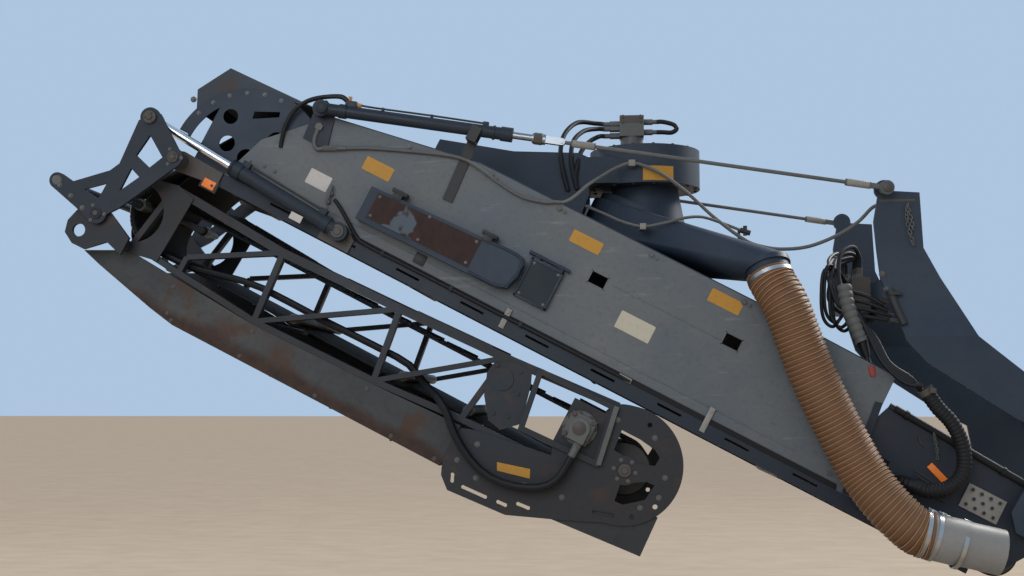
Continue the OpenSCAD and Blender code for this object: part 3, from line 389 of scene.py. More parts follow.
def soften(bm, edges, offset, segments=2):
    bmesh.ops.bevel(bm, geom=edges, offset=offset, segments=segments, profile=0.5,
                    affect="EDGES", material=-1)


def block(bm, low, high, bevel=0.0):
    low, high = Vector(low), Vector(high)
    place = Matrix.Translation((low + high) / 2) @ Matrix.Diagonal((*(high - low), 1))
    made = bmesh.ops.create_cube(bm, size=1.0, matrix=place)
    if bevel:
        soften(bm, list({edge for vert in made["verts"] for edge in vert.link_edges}), bevel)


def plate(bm, outline, low, high, bevel=0.0):
    """A flat outline in local x and y, drawn out from low to high along z."""
    face = bm.faces.new([bm.verts.new((x, y, low)) for x, y in outline])
    drawn = bmesh.ops.extrude_face_region(bm, geom=[face])
    bmesh.ops.translate(bm, vec=(0, 0, high - low), verts=new_parts(drawn, bmesh.types.BMVert))
    if bevel:
        faces = [face] + new_parts(drawn, bmesh.types.BMFace)
        soften(bm, list({edge for f in faces for edge in f.edges}), bevel)


def bar_frame(bm, low, high, wide, front, back, bevel=0.0):
    """Four bars along the sides of a rectangle in local x and y."""
    (u0, v0), (u1, v1) = low, high
    for a, b in (((u0, v0), (u1, v0 + wide)), ((u0, v1 - wide), (u1, v1)),
                 ((u0, v0), (u0 + wide, v1)), ((u1 - wide, v0), (u1, v1))):
        block(bm, (*a, front), (*b, back), bevel)


def rod(bm, start, end, r, sides=16, r_end=None):
    start, end = Vector(start), Vector(end)
    way = end - start
    bmesh.ops.create_cone(bm, cap_ends=True, segments=sides, radius1=r,
                          radius2=r if r_end is None else r_end, depth=way.length,
                          matrix=along((start + end) / 2, way))


def turned(bm, profile, place, way, steps=32, ring=False):
    """Spins a profile of (radius, distance along the way); a ring's profile is closed."""
    axes = along(place, way)
    verts = [bm.verts.new(axes @ Vector((r, 0, z))) for r, z in profile]
    pairs = list(zip(verts, verts[1:]))
    if ring:
        pairs.append((verts[-1], verts[0]))
    edges = [bm.edges.new(pair) for pair in pairs]
    bmesh.ops.spin(bm, geom=verts + edges, cent=place, axis=Vector(way).normalized(),
                   angle=2 * math.pi, steps=steps, use_merge=True)


def cap(bm, place, way, profile, steps=24):
    """A round cap: its profile runs from its top to its back, and is closed to the middle."""
    turned(bm, [(0, profile[0][1]), *profile, (0, profile[-1][1])], place, way, steps)


def band(bm, place, way, inner, outer, half, steps=32):
    """A flat ring, with half its width to each side of the place."""
    turned(bm, [(inner, -half), (outer, -half), (outer, half), (inner, half)], place, way, steps, ring=True)


def bolt(bm, place, way, r=0.012):
    """A washer with a hexagon head on it, standing on a face at place."""
    place, way = Vector(place), Vector(way).normalized()
    foot = place + 0.0025 * way
    rod(bm, place - 0.002 * way, foot, 1.5 * r, 20)
    rod(bm, foot, foot + 0.6 * r * way, r, 6)
    rod(bm, foot + 0.6 * r * way, foot + 0.7 * r * way, r, 6, 0.85 * r)


def bolts(bm, spots, z, way, r):
    """Bolts at spots of local x and y, on a face at z."""
    for spot in spots:
        bolt(bm, (*spot, z), way, r)


def smooth_path(points, steps):
    """A smooth curve through a route's points, with some steps between each two."""
    p = [Vector(q) for q in points]
    p = [p[0]] + p + [p[-1]]
    path = []
    for a, b, c, d in zip(p, p[1:], p[2:], p[3:]):
        for k in range(steps):
            t = k / steps
            path.append(0.5 * (2 * b + (c - a) * t + (2 * a - 5 * b + 4 * c - d) * t * t
                               + (3 * b - a - 3 * c + d) * t * t * t))
    return path + [p[-1]]


def even_path(points, spacing):
    """The same curve at even distances."""
    path = smooth_path(points, 24)
    length = sum((b - a).length for a, b in zip(path, path[1:]))
    count = max(2, round(length / spacing))
    gone, out = 0.0, [path[0]]
    for a, b in zip(path, path[1:]):
        span = (b - a).length
        while span and len(out) < count and gone + span >= length * len(out) / count:
            out.append(a.lerp(b, (length * len(out) / count - gone) / span))
        gone += span
    return out + [path[-1]]


def path_ways(path):
    """The way a path runs at each of its points."""
    return [(path[min(i + 1, len(path) - 1)] - path[max(i - 1, 0)]).normalized() for i in range(len(path))]


def ring_edges(ring):
    """The edges between the vertices of a tube's last ring."""
    return [edge for edge in {edge for vert in ring for edge in vert.link_edges}
            if edge.verts[0] in ring and edge.verts[1] in ring]


def tube(bm, path, radii, sides=12):
    """Sweeps a ring along a path, with one radius or a radius for each of its points."""
    if not isinstance(radii, (list, tuple)):
        radii = [radii] * len(path)
    ways = path_ways(path)
    ring = bmesh.ops.create_circle(bm, cap_ends=True, segments=sides, radius=radii[0],
                                   matrix=along(path[0], ways[0]))["verts"]
    for i in range(1, len(path)):
        ring = new_parts(bmesh.ops.extrude_edge_only(bm, edges=ring_edges(ring)), bmesh.types.BMVert)
        step = (Matrix.Translation(path[i])
                @ ways[i - 1].rotation_difference(ways[i]).to_matrix().to_4x4()
                @ Matrix.Scale(radii[i] / radii[i - 1], 4) @ Matrix.Translation(-path[i - 1]))
        bmesh.ops.transform(bm, matrix=step, verts=ring)
    bmesh.ops.contextual_create(bm, geom=ring_edges(ring))


def hoses(bm, routes, r, sides=12, steps=8):
    for route in routes:
        tube(bm, smooth_path(route, steps), r, sides)


def ribbed(crest, valley, count):
    """Radii for a ribbed hose with four points to a rib."""
    shoulder = crest - 0.35 * (crest - valley)
    return [(valley, shoulder, crest, shoulder)[i % 4] for i in range(count)]


def chain(bm, points, link):
    """Links along a curve, each turned a quarter against the last."""
    half, wide = link * 0.5, link * 0.30
    path = even_path(points, link * 0.72)
    for i, (a, b) in enumerate(zip(path, path[1:])):
        axes = along((a + b) / 2, b - a) @ Matrix.Rotation(math.radians(90 * (i % 2)), 4, "Z")
        loop = []
        for z, x in around((0, 0), wide, [30 * (k + 0.5) for k in range(12)]):
            loop.append(axes @ Vector((x, 0, z + math.copysign(half - wide, z))))
        tube(bm, loop + [loop[0]], link * 0.11, 6)


# A finished piece

def piece(name, bm, finish, body=None, axes=None, bend=None, stands_for=(), edge=35):
    """Makes the object, in the frame's axes, and ties it to a body, or, when a bend is given, leaves it on no
    body.
    """
    if axes is not None:
        bmesh.ops.transform(bm, matrix=axes, verts=bm.verts)
    bmesh.ops.remove_doubles(bm, verts=bm.verts, dist=1e-6)
    bmesh.ops.recalc_face_normals(bm, faces=bm.faces)
    for face in bm.faces:
        face.smooth = True
    mesh = bpy.data.meshes.new(name)
    bm.to_mesh(mesh)
    bm.free()
    mesh.set_sharp_from_angle(angle=math.radians(edge))
    mesh.materials.append(FINISH[finish])
    obj = shown(name, mesh)
    if bend:
        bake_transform(obj)
    else:
        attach(obj, body)
    if stands_for:
        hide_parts(*stands_for)


# Routes of the hoses and the belt, as part.scad has them

HOSE_OUT = 0.840
PIPE_OUT = HALF_W + 0.235
HOSE_START = Vector((1.890, 0.552, 0.072 - HOSE_OUT))
HOSE_WAY = Vector((-0.68, -0.64, -0.357))
HOSE_ROUTE = [
    HOSE_START, HOSE_START + 0.060 * HOSE_WAY, (1.730, 0.425, 0.005 - HOSE_OUT),
    (1.570, 0.275, -HOSE_OUT), (1.420, 0.140, -HOSE_OUT), (1.270, 0.022, -HOSE_OUT),
    (1.120, -0.090, -HOSE_OUT - 0.005), (0.955, -0.206, -HOSE_OUT - 0.020),
    (0.808, -0.286, 0.030 - PIPE_OUT), (0.667, -0.337, -PIPE_OUT),
    (0.582, -0.352, -PIPE_OUT), (0.522, -0.341, -PIPE_OUT),
]
SLEEVE_TOP = Vector((-1.030, -0.810, 0.960))
SLEEVE_END = boom_point(0.730, -0.150, -0.7003)
SLEEVE_ROUTE = [
    SLEEVE_TOP, (-0.970, -0.808, 0.870), (-0.895, -0.805, 0.785), (-0.845, -0.800, 0.680),
    (-0.832, -0.800, 0.570), (-0.862, -0.804, 0.485), (-0.935, -0.806, 0.430), (-1.030, -0.800, 0.418),
    SLEEVE_END + Vector((0.056, -0.092, -0.012)), SLEEVE_END + Vector((0, -0.046, 0)), SLEEVE_END,
]
DRIVE_HOSE_Y = [-HALF_W + 0.085, -HALF_W + 0.137]
ELBOW_UPPER = [(4.940, -0.398), (5.040, -0.398), (5.130, -0.402), (5.225, -0.448), (5.308, -0.548),
               (5.360, -0.646)]
ELBOW_LOWER = [(5.362, -0.650), (5.388, -0.740), (5.335, -0.855), (5.235, -0.925),
               (KNUCKLE[0] - 0.3297, KNUCKLE[1] - 0.042)]
BELT_W, BELT_T = 1.000, 0.012
BELT_MID_R = 0.146 + BELT_T / 2
CARRY_V, RETURN_V = -0.120, -0.376
BELT_END_U = BOOM_L - 0.110
OUTER_TURN = (FOLD_PIVOT[0] + 0.130, FOLD_PIVOT[1] - 0.150)
INNER_TURN = (FOLD_PIVOT[0] - 0.008, FOLD_PIVOT[1] - 0.060)


# Dust extraction

def make_extraction_hose():
    """The ribbed hose, its wire wound round it, and its clamps."""
    rib, wire_turn_r, wire_r, steps = 0.027, 0.1290, 0.0026, 16
    path = even_path(HOSE_ROUTE, rib / 4)
    bm = bmesh.new()
    tube(bm, path, ribbed(0.1295, 0.1225, len(path)), 48)
    piece("extraction_hose_ribbed", bm, "extraction_hose", "boom", BOOM, stands_for=["extraction_hose"])

    spine = even_path(HOSE_ROUTE, rib / steps)
    ways = [(b - a).normalized() for a, b in zip(spine, spine[1:])]
    arm = ways[0].orthogonal().normalized()
    coil = []
    for i, way in enumerate(ways):
        if i:
            arm = ways[i - 1].rotation_difference(way) @ arm
        turn = Matrix.Rotation(2 * math.pi * i / steps, 3, way)
        coil.append(spine[i] + wire_turn_r * (turn @ arm))
    bm = bmesh.new()
    tube(bm, coil, wire_r, 6)
    piece("extraction_hose_wire", bm, "hose_wire", "boom", BOOM, edge=60)

    bm = bmesh.new()
    band(bm, HOSE_START + 0.030 * ways[0], ways[0], 0.1270, 0.1315, 0.011, 48)
    end = Vector(HOSE_ROUTE[-1])
    way = (end - Vector(HOSE_ROUTE[-2])).normalized()
    for ahead in (-0.035, 0.022, 0.160):
        at = end + ahead * way
        band(bm, at, way, 0.1265, 0.1310, 0.011, 48)
        block(bm, at + Vector((-0.014, 0.126, -0.010)), at + Vector((0.014, 0.142, 0.014)), 0.002)
        rod(bm, at + Vector((-0.030, 0.135, 0)), at + Vector((0.034, 0.135, 0)), 0.005, 10)
    piece("hose_clamps", bm, "clamp_steel", "boom", BOOM)


def make_fan_fittings():
    """Rims and bolts on the fan's housing, and the motor's cap, unions and hoses."""
    up, top = Vector((0, 0, 1)), FAN.z + FAN_H / 2
    bm = bmesh.new()
    for z in (top - 0.004, top - FAN_H + 0.004):
        band(bm, (FAN.x, 0, z), up, 0.3362, 0.3402, 0.004, 96)
    for spot in around((FAN.x, 0), 0.318, [22.5 * k + 8 for k in range(16)]):
        bolt(bm, (*spot, top), up, 0.009)
        bolt(bm, (*spot, top - FAN_H), -up, 0.009)
    piece("fan_rims", bm, "duct_paint", "boom")

    motor_x, base = FAN.x - 0.080, top + 0.100
    half, cap_top = 0.0753, base + 0.1295
    bm = bmesh.new()
    block(bm, (motor_x - 0.074, -half, base + 0.078), (motor_x + 0.074, half, cap_top), 0.004)
    for k in (-1, 1):
        for j in (-1, 1):
            bolt(bm, (motor_x + k * 0.055, -half, base + 0.103 + j * 0.016), -Y_AXIS, 0.007)
            bolt(bm, (motor_x + k * 0.055, j * 0.055, cap_top), up, 0.007)
    piece("fan_motor_cap", bm, "bare_steel", "boom")

    left, right = motor_x - 0.076, motor_x + 0.076
    bm = bmesh.new()
    for y, rise in ((-0.040, 0.050), (-0.010, 0.012), (-0.020, 0.085)):
        union_end = (left - 0.060, y, base + rise)
        rod(bm, (left + 0.002, y, base + rise), union_end, 0.020, 6)
        rod(bm, union_end, (left - 0.100, y, base + rise), 0.015)
    for rise in (0.100, 0.035):
        union_end = (right + 0.055, 0, base + rise)
        rod(bm, (right - 0.002, 0, base + rise), union_end, 0.019, 6)
        rod(bm, union_end, (right + 0.085, 0, base + rise), 0.014)
    piece("fan_motor_fittings", bm, "zinc", "boom")

    # Distances out to the left, across and above the motor's base
    beside = -0.316
    routes = [[(left - out, y, base + rise) for out, y, rise in route] for route in (
        ((0.090, -0.020, 0.085), (0.150, -0.030, 0.090), (0.260, -0.110, 0.080), (0.335, -0.220, -0.010),
         (0.360, -0.290, -0.130), (0.345, beside, -0.260), (0.315, beside, -0.380)),
        ((0.090, -0.040, 0.050), (0.140, -0.055, 0.050), (0.220, -0.140, 0.020), (0.280, -0.250, -0.060),
         (0.296, -0.300, -0.160), (0.285, beside, -0.270), (0.260, beside, -0.370)),
        ((0.090, -0.010, 0.012), (0.130, -0.030, 0.006), (0.190, -0.140, -0.050), (0.235, -0.250, -0.130),
         (0.255, -0.300, -0.210), (0.270, beside, -0.300), (0.262, beside, -0.372)),
    )]
    routes.append([(right + out, 0, base + rise) for out, rise in (
        (0.080, 0.100), (0.120, 0.100), (0.185, 0.082), (0.205, 0.055), (0.175, 0.032), (0.120, 0.034),
        (0.080, 0.035),
    )])
    bm = bmesh.new()
    hoses(bm, routes, 0.0145)
    piece("fan_motor_hoses", bm, "hose_rubber", "boom", stands_for=["fan_hoses"])


# Fittings on the hood's near wall

def make_signs():
    """Bare sign plates in line with the boom, and one bent round the fan."""
    for name, finish, *spot in (
        ("sign_elbow", "sign_yellow", 4.160, 0.088, 0.180, 0.082),
        ("sign_wall_middle", "sign_yellow", 2.885, 0.255, 0.190, 0.074),
        ("sign_wall_low", "sign_yellow", 2.030, 0.310, 0.195, 0.078),
        ("notice_wall_top", "sign_white", 4.442, -0.128, 0.140, 0.092),
        ("notice_wall_low", "sign_cream", 2.418, -0.050, 0.215, 0.105),
    ):
        bm = bmesh.new()
        plate(bm, rectangle(*spot), WALL - 0.002, WALL + 0.001)
        corners = [edge for edge in bm.edges if abs(edge.verts[0].co.z - edge.verts[1].co.z) > 0.002]
        soften(bm, corners, 0.006, 4)
        piece(name, bm, finish, "boom", BOOM)

    r, half_wide, high, low = 0.3405, 0.095, 0.088, FAN.z - 0.107
    middle, half = -77.395, math.degrees(half_wide / r)
    angles = [middle + half * (k / 8 - 1) for k in range(17)]
    bm = bmesh.new()
    outline = around((FAN.x, 0), r, angles) + around((FAN.x, 0), 0.997 * r, reversed(angles))
    plate(bm, outline, low, low + high)
    piece("sign_fan", bm, "sign_yellow", "boom")


def make_wall_hardware():
    """Bolts, seals, straps and creases of the hood's walls, and the edges of its two windows."""
    bm = bmesh.new()
    for u, v in ((4.056, 0.285), (3.551, 0.356), (3.110, 0.358), (2.520, 0.358), (1.935, 0.355)):
        for side, way in SIDES:
            bolt(bm, (u, v, side * WALL_OUT), way, 0.013)
            bolt(bm, (u - 0.035, v - 0.004, side * WALL_OUT), way, 0.009)
    for side, way in SIDES:
        bolts(bm, [(u, v) for u in (1.085, 1.100, 4.700, 4.770) for v in (-0.285, -0.200)],
              side * WALL_OUT, way, 0.009)
    piece("wall_bolts", bm, "zinc", "boom", BOOM)

    bm = bmesh.new()
    for y in (WALL - 0.006, WALL_OUT):
        plate(bm, [(1.020, -0.349), (4.930, -0.349), (4.930, -0.318), (1.030, -0.318)], y, y + 0.006)
    piece("wall_seals", bm, "belt_rubber", "boom", BOOM)

    front, back = WALL - 0.016, WALL - 0.0065
    bm = bmesh.new()
    for u, low, high in ((1.822, -0.405, -0.255), (3.096, -0.405, -0.285)):
        block(bm, (u - 0.016, low, front), (u + 0.016, high, back), 0.002)
        bolt(bm, (u, high - 0.020, front), NEAR_WAY, 0.008)
    block(bm, (2.295, -0.350, front - 0.004), (2.375, -0.322, back), 0.002)
    piece("wall_straps", bm, "pale_steel", "boom", BOOM)

    bm = bmesh.new()
    for v, low, high in ((0.105, 1.960, 2.640), (-0.262, 1.300, 4.500)):
        for y in (WALL + 0.0022, WALL_OUT - 0.0022):
            rod(bm, (low, v, y), (high, v, y), 0.005, 12)
    piece("wall_creases", bm, "hood_paint", "boom", BOOM)

    bm = bmesh.new()
    for u, v in ((2.672, 0.053), (1.840, 0.084)):
        bar_frame(bm, (u, v), (u + 0.110, v + 0.080), 0.006, WALL - 0.002, WALL + 0.030)
    piece("window_edges", bm, "hood_paint", "boom", BOOM)


def make_side_box_fittings():
    """The side box's rusted panel with its screws, its round rim and its latches."""
    panel, rim = WALL - 0.0955, WALL - 0.086
    bm = bmesh.new()
    plate(bm, [(4.069, -0.040), (3.414, -0.014), (3.414, -0.188), (4.069, -0.198)], panel, panel + 0.002)
    piece("box_panel", bm, "panel_rust", "boom", BOOM)

    bm = bmesh.new()
    bolts(bm, [(4.050, -0.058), (4.050, -0.178), (3.435, -0.034), (3.435, -0.168), (3.740, -0.030),
               (3.740, -0.176)], panel, NEAR_WAY, 0.006)
    piece("box_screws", bm, "zinc", "boom", BOOM)

    bm = bmesh.new()
    hoses(bm, [[(*spot, rim) for spot in (
        (3.400, -0.206), (3.300, -0.208), (3.226, -0.204), (3.172, -0.180), (3.148, -0.110),
        (3.147, -0.040), (3.170, -0.004), (3.240, 0.004), (3.400, -0.003),
    )]], 0.010, steps=6)
    piece("box_rim", bm, "duct_paint", "boom", BOOM)

    bm = bmesh.new()
    for u, v in ((3.965, 0.000), (3.390, 0.020)):
        block(bm, (u - 0.050, v + 0.006, rim + 0.004), (u + 0.046, v + 0.030, rim + 0.070), 0.003)
        block(bm, (u - 0.030, v - 0.030, rim - 0.0105), (u + 0.026, v + 0.016, rim - 0.005), 0.002)
        rod(bm, (u - 0.040, v + 0.010, rim - 0.009), (u + 0.036, v + 0.010, rim - 0.009), 0.006, 12)
    block(bm, (3.660, -0.300, WALL - 0.006), (3.728, -0.235, WALL - 0.0005), 0.004)
    piece("box_latches", bm, "black_paint", "boom", BOOM)


def make_hatch_fittings():
    low, high, lid, screw_in = (2.913, -0.205), (3.119, 0.038), WALL - 0.025, 0.026
    bm = bmesh.new()
    bar_frame(bm, low, high, 0.014, lid - 0.006, lid + 0.004, 0.002)
    rod(bm, (2.886, 0.058, lid + 0.006), (3.146, 0.058, lid + 0.006), 0.0105)
    piece("hatch_rim", bm, "duct_paint", "boom", BOOM)

    bm = bmesh.new()
    bolts(bm, [(u, v) for u in (low[0] + screw_in, high[0] - screw_in)
               for v in (low[1] + screw_in, high[1] - screw_in)], lid, NEAR_WAY, 0.006)
    piece("hatch_screws", bm, "zinc", "boom", BOOM)


def make_wall_cables():
    """The cable along the wall's top, the hose along its foot, and the glands where they start."""
    y = WALL - 0.016
    bm = bmesh.new()
    rod(bm, (4.583, 0.150, y), (4.583, 0.150, WALL), 0.016)
    rod(bm, (4.583, 0.150, y - 0.012), (4.583, 0.150, y + 0.010), 0.024, 6)
    hoses(bm, [[(4.583, 0.150, y), (4.578, 0.090, y), (4.560, 0.045, y), (4.530, 0.030, y),
                (4.500, 0.050, y)]], 0.013, 16, steps=6)
    rod(bm, (4.500, 0.050, y), (4.430, 0.085, y), 0.017, 6)
    rod(bm, (4.430, 0.085, y), (4.380, 0.110, y), 0.013)
    for u, v in ((4.335, -0.165), (4.330, -0.215)):
        rod(bm, (u, v, WALL), (u, v, WALL - 0.030), 0.015, 6)
    hoses(bm, [[(4.350, -0.120, WALL - 0.020), (4.340, -0.165, WALL - 0.034),
                (4.330, -0.230, WALL - 0.024)]], 0.010, steps=6)
    piece("wall_glands", bm, "zinc", "boom", BOOM)

    bm = bmesh.new()
    hoses(bm, [
        [(4.380, 0.110, y), (4.250, 0.176, y), (4.050, 0.258, y), (3.874, 0.325, y - 0.004),
         (3.745, 0.360, y - 0.010), (3.640, 0.356, y - 0.010), (3.480, 0.330, y), (3.330, 0.320, y),
         (3.200, 0.352, y), (3.150, 0.380, y + 0.003), (3.120, 0.391, y + 0.005)],
    ], 0.0095)
    piece("wall_cable", bm, "cable_grey", "boom", BOOM)

    # Points along the boom, square to it, and out from the wall
    bm = bmesh.new()
    hoses(bm, [[(u, v, WALL - out) for u, v, out in (
        (4.300, -0.188, 0.014), (4.250, -0.212, 0.022), (4.160, -0.270, 0.024), (4.085, -0.318, 0.020),
        (4.010, -0.338, 0.020), (3.700, -0.338, 0.018), (3.300, -0.338, 0.018), (2.900, -0.338, 0.018),
        (2.500, -0.338, 0.018), (2.300, -0.340, 0.012),
    )]], 0.0115)
    for u in (3.900, 3.450, 3.000):
        block(bm, (u - 0.012, -0.352, WALL - 0.032), (u + 0.012, -0.322, WALL - 0.004), 0.003)
    piece("wall_hose", bm, "hose_rubber", "boom", BOOM)


# Luffing gear

def stay_axes():
    """Axes of the stays: x from the luff pin to the console's ear, y up, z to the near side."""
    pin = boom_point(*LUFF_PIN)
    way = EAR - pin
    turn = Matrix.Rotation(-math.atan2(way.z, way.x), 4, "Y")
    return Matrix.Translation(pin) @ turn @ Matrix.Rotation(math.radians(90), 4, "X"), way.length


def make_luff_fittings():
    stay, stay_l = stay_axes()
    barrel_r = 0.036
    parts = {name: bmesh.new() for name in ("fittings", "pipes", "unions", "ferrules", "nuts")}
    for side, way in SIDES:
        y = side * LUFF_OUT
        bm = parts["fittings"]
        turned(bm, [(0, -0.003), (0.030, -0.003), (0.034, 0.004), (0.034, 0.010), (0.018, 0.016),
                    (0, 0.018)], (0, 0, side * (LUFF_OUT + 0.045)), way, 24)
        for x, half in ((0.120, 0.022), (1.085, 0.034), (1.010, 0.006)):
            band(bm, (x, 0, y), X_WAY, barrel_r - 0.002, barrel_r + 0.006, half)
        block(bm, (0.128, 0.028, y - 0.020), (0.196, 0.066, y + 0.020), 0.003)
        block(bm, (0.940, 0.030, y - 0.014), (0.974, 0.056, y + 0.014), 0.003)
        for x in (0.350, 0.640):
            block(bm, (x - 0.008, 0.034, y - 0.010), (x + 0.008, 0.054, y + 0.010), 0.002)
        hoses(parts["pipes"], [[(0.190, 0.052, y), (0.300, 0.047, y), (0.640, 0.048, y), (0.900, 0.046, y),
                                (0.958, 0.046, y)]], 0.006)
        rod(parts["unions"], (0.194, 0.050, y), (0.222, 0.048, y), 0.013, 6)
        rod(parts["unions"], (0.150, 0.064, y), (0.150, 0.092, y), 0.012, 6)
        for x in (stay_l - 1.785, stay_l - 0.230):
            turned(parts["ferrules"], [(0.010, 0.0), (0.017, 0.0), (0.0208, 0.010), (0.0208, 0.130),
                                       (0.016, 0.140), (0.010, 0.140)], (x, 0, y), X_WAY, 24, ring=True)
        turned(parts["nuts"], [(0.029, 0.0), (0.035, 0.006), (0.035, 0.050), (0.029, 0.056)],
               (1.240, 0, y), X_WAY, 8, ring=True)
    piece("luff_barrel_fittings", parts["fittings"], "cylinder_paint", "luff_cylinders", stay)
    piece("luff_barrel_pipes", parts["pipes"], "black_paint", "luff_cylinders", stay)
    piece("luff_barrel_unions", parts["unions"], "brass", "luff_cylinders", stay)
    piece("rope_ferrules", parts["ferrules"], "pale_steel", "stay_ropes", stay)
    piece("luff_rod_nuts", parts["nuts"], "bare_steel", "luff_rods", stay)

    bm = bmesh.new()
    for k, rise in enumerate((0.058, 0.062)):
        start = BOOM.inverted() @ (stay @ Vector((0.140, rise, LUFF_OUT)))
        hoses(bm, [[
            start, start + Vector((0.060, 0.006, 0)), (4.660 + 0.02 * k, 0.290 - 0.012 * k, -0.745),
            (4.740 + 0.01 * k, 0.205 - 0.020 * k, -0.728), (4.765, 0.090, -0.716), (4.752, 0.000, -0.702),
            (4.735, -0.060, -0.690 + 0.020 * k),
        ]], 0.0125)
    piece("luff_hoses", bm, "hose_rubber", axes=BOOM,
          bend=("boom", "luff_cylinders", boom_point(4.745, 0.020, -0.700), boom_point(4.640, 0.300, -0.750)))


# Belts

def cleat_row(bm, u, v, up):
    """One chevron cleat across the belt, its legs pointing back from the middle."""
    thick, high, half_wide, sweep = 0.016, 0.014, 0.400, 0.160
    for side in (-1, 1):
        place = Matrix.Translation((u, v + up * high / 2, side * half_wide / 2))
        leg = bmesh.ops.create_cube(bm, size=1.0, matrix=place @ Matrix.Diagonal((thick, high, half_wide, 1)))
        for vert in leg["verts"]:
            vert.co.x += sweep * abs(vert.co.z) / half_wide


def make_belt_cleats():
    """Cleats along both strands, left out where a return roller would meet them."""
    first, pitch, clear, half_sweep = 0.300, 0.250, 0.150, 0.080
    for name, body, axes, end, high, low, rollers in (
        ("boom_belt_cleats", "boom", BOOM, BELT_END_U - 0.200, CARRY_V + BELT_T / 2,
         RETURN_V - BELT_T / 2, (1.3, 2.5, 3.7, 4.9)),
        ("section_belt_cleats", "section", SECTION, 3.250, HEAD_C[1] + BELT_MID_R + BELT_T / 2,
         HEAD_C[1] - BELT_MID_R - BELT_T / 2, (1.264, 1.990, 2.417)),
    ):
        bm = bmesh.new()
        u = first
        while u < end:
            cleat_row(bm, u, high, 1)
            if all(abs(u + half_sweep - roller) > clear for roller in rollers):
                cleat_row(bm, u, low, -1)
            u += pitch
        piece(name, bm, "belt_rubber", body, axes)


def strand(bm, points):
    """One strand of belt through points of the boom's plane."""
    path = smooth_path([(*p, 0) for p in points], 8)
    sides = [Vector((-way.y, way.x, 0)) * BELT_T / 2 for way in path_ways(path)]
    outline = [p + s for p, s in zip(path, sides)] + [p - s for p, s in reversed(list(zip(path, sides)))]
    plate(bm, [(q.x, q.y) for q in outline], -BELT_W / 2, BELT_W / 2)


def make_belt_bends():
    """Each strand of the belt in two stretches, one bending at the fold pivot and one at the knuckle."""
    f, k = Vector(FOLD_PIVOT), Vector(KNUCKLE)
    end = k + Vector((-0.270, HEAD_C[1]))
    carried, returned = end - Vector((0, BELT_MID_R)), end + Vector((0, BELT_MID_R))
    for name, node, bodies, points in (
        ("carrying_belt_at_fold_pivot", "belt_bend_upper", ("boom", "cranks"),
         [(BELT_END_U, CARRY_V), (BELT_END_U + 0.030, CARRY_V), f + Vector((0.060, -0.020)), OUTER_TURN]),
        ("return_belt_at_fold_pivot", "belt_bend_upper", ("boom", "cranks"),
         [(BELT_END_U, RETURN_V), (BELT_END_U + 0.030, RETURN_V), f + Vector((-0.060, 0.018)), INNER_TURN]),
        ("carrying_belt_at_knuckle", "belt_bend_lower", ("cranks", "section"),
         [OUTER_TURN, f + Vector((0.172, -0.400)), k + Vector((-0.130, -0.060)),
          carried + Vector((0.025, 0)), carried]),
        ("return_belt_at_knuckle", "belt_bend_lower", ("cranks", "section"),
         [INNER_TURN, f + Vector((0.026, -0.160)), returned + Vector((0.022, 0)), returned]),
    ):
        bm = bmesh.new()
        strand(bm, points)
        piece(name, bm, "belt_rubber", axes=BOOM, stands_for=[node],
              bend=(*bodies, boom_point(*points[0]), boom_point(*points[-1])))


# Folding gear and elbow

def make_elbow_hoses():
    for name, route, node, bodies in (
        ("elbow_hoses_fold", ELBOW_UPPER, "elbow_hoses_upper", ("boom", "cranks")),
        ("elbow_hoses_knuckle", ELBOW_LOWER, "elbow_hoses_lower", ("cranks", "section")),
    ):
        bm = bmesh.new()
        for y in DRIVE_HOSE_Y:
            path = even_path([(*p, y) for p in route], 0.006)
            tube(bm, path, ribbed(0.0200, 0.0182, len(path)), 14)
        piece(name, bm, "hose_rubber", axes=BOOM, stands_for=[node],
              bend=(*bodies, boom_point(*route[0], DRIVE_HOSE_Y[0]), boom_point(*route[-1], DRIVE_HOSE_Y[0])))


def fold_axes():
    """Axes of the folding cylinders: x from the base pin to the rod pin, z to the far side."""
    way = Vector(ROD_PIN) - Vector(FOLD_BASE)
    return BOOM @ Matrix.Translation((*FOLD_BASE, 0)) @ Matrix.Rotation(math.atan2(way.y, way.x), 4, "Z")


def make_fold_fittings():
    """Collars, pipes and unions of the folding cylinders."""
    fold, barrel_r = fold_axes(), 0.042
    parts = {name: bmesh.new() for name in ("fittings", "pipes", "unions")}
    for side in (-1, 1):
        y = side * FOLD_OUT
        for x, half in ((0.730, 0.012), (0.700, 0.030), (0.085, 0.020)):
            band(parts["fittings"], (x, 0, y), X_WAY, barrel_r - 0.002, barrel_r + 0.007, half)
        for low, high in ((0.640, 0.690), (0.110, 0.155)):
            block(parts["fittings"], (low, 0.036, y - 0.020), (high, 0.074, y + 0.020), 0.003)
        rod(parts["pipes"], (0.150, 0.060, y), (0.645, 0.060, y), 0.007, 12)
        for x in (0.132, 0.665):
            rod(parts["unions"], (x, 0.070, y), (x, 0.092, y), 0.011, 6)
    piece("fold_barrel_fittings", parts["fittings"], "cylinder_paint", "fold_cylinders", fold)
    piece("fold_barrel_pipes", parts["pipes"], "black_paint", "fold_cylinders", fold)
    piece("fold_barrel_unions", parts["unions"], "zinc", "fold_cylinders", fold)

    bm = bmesh.new()
    plate(bm, rectangle(4.4225, -0.384, 0.075, 0.042), -FOLD_OUT - 0.0445, -FOLD_OUT - 0.041)
    piece("notice_fold_cylinder", bm, "sign_white", "fold_cylinders", BOOM)


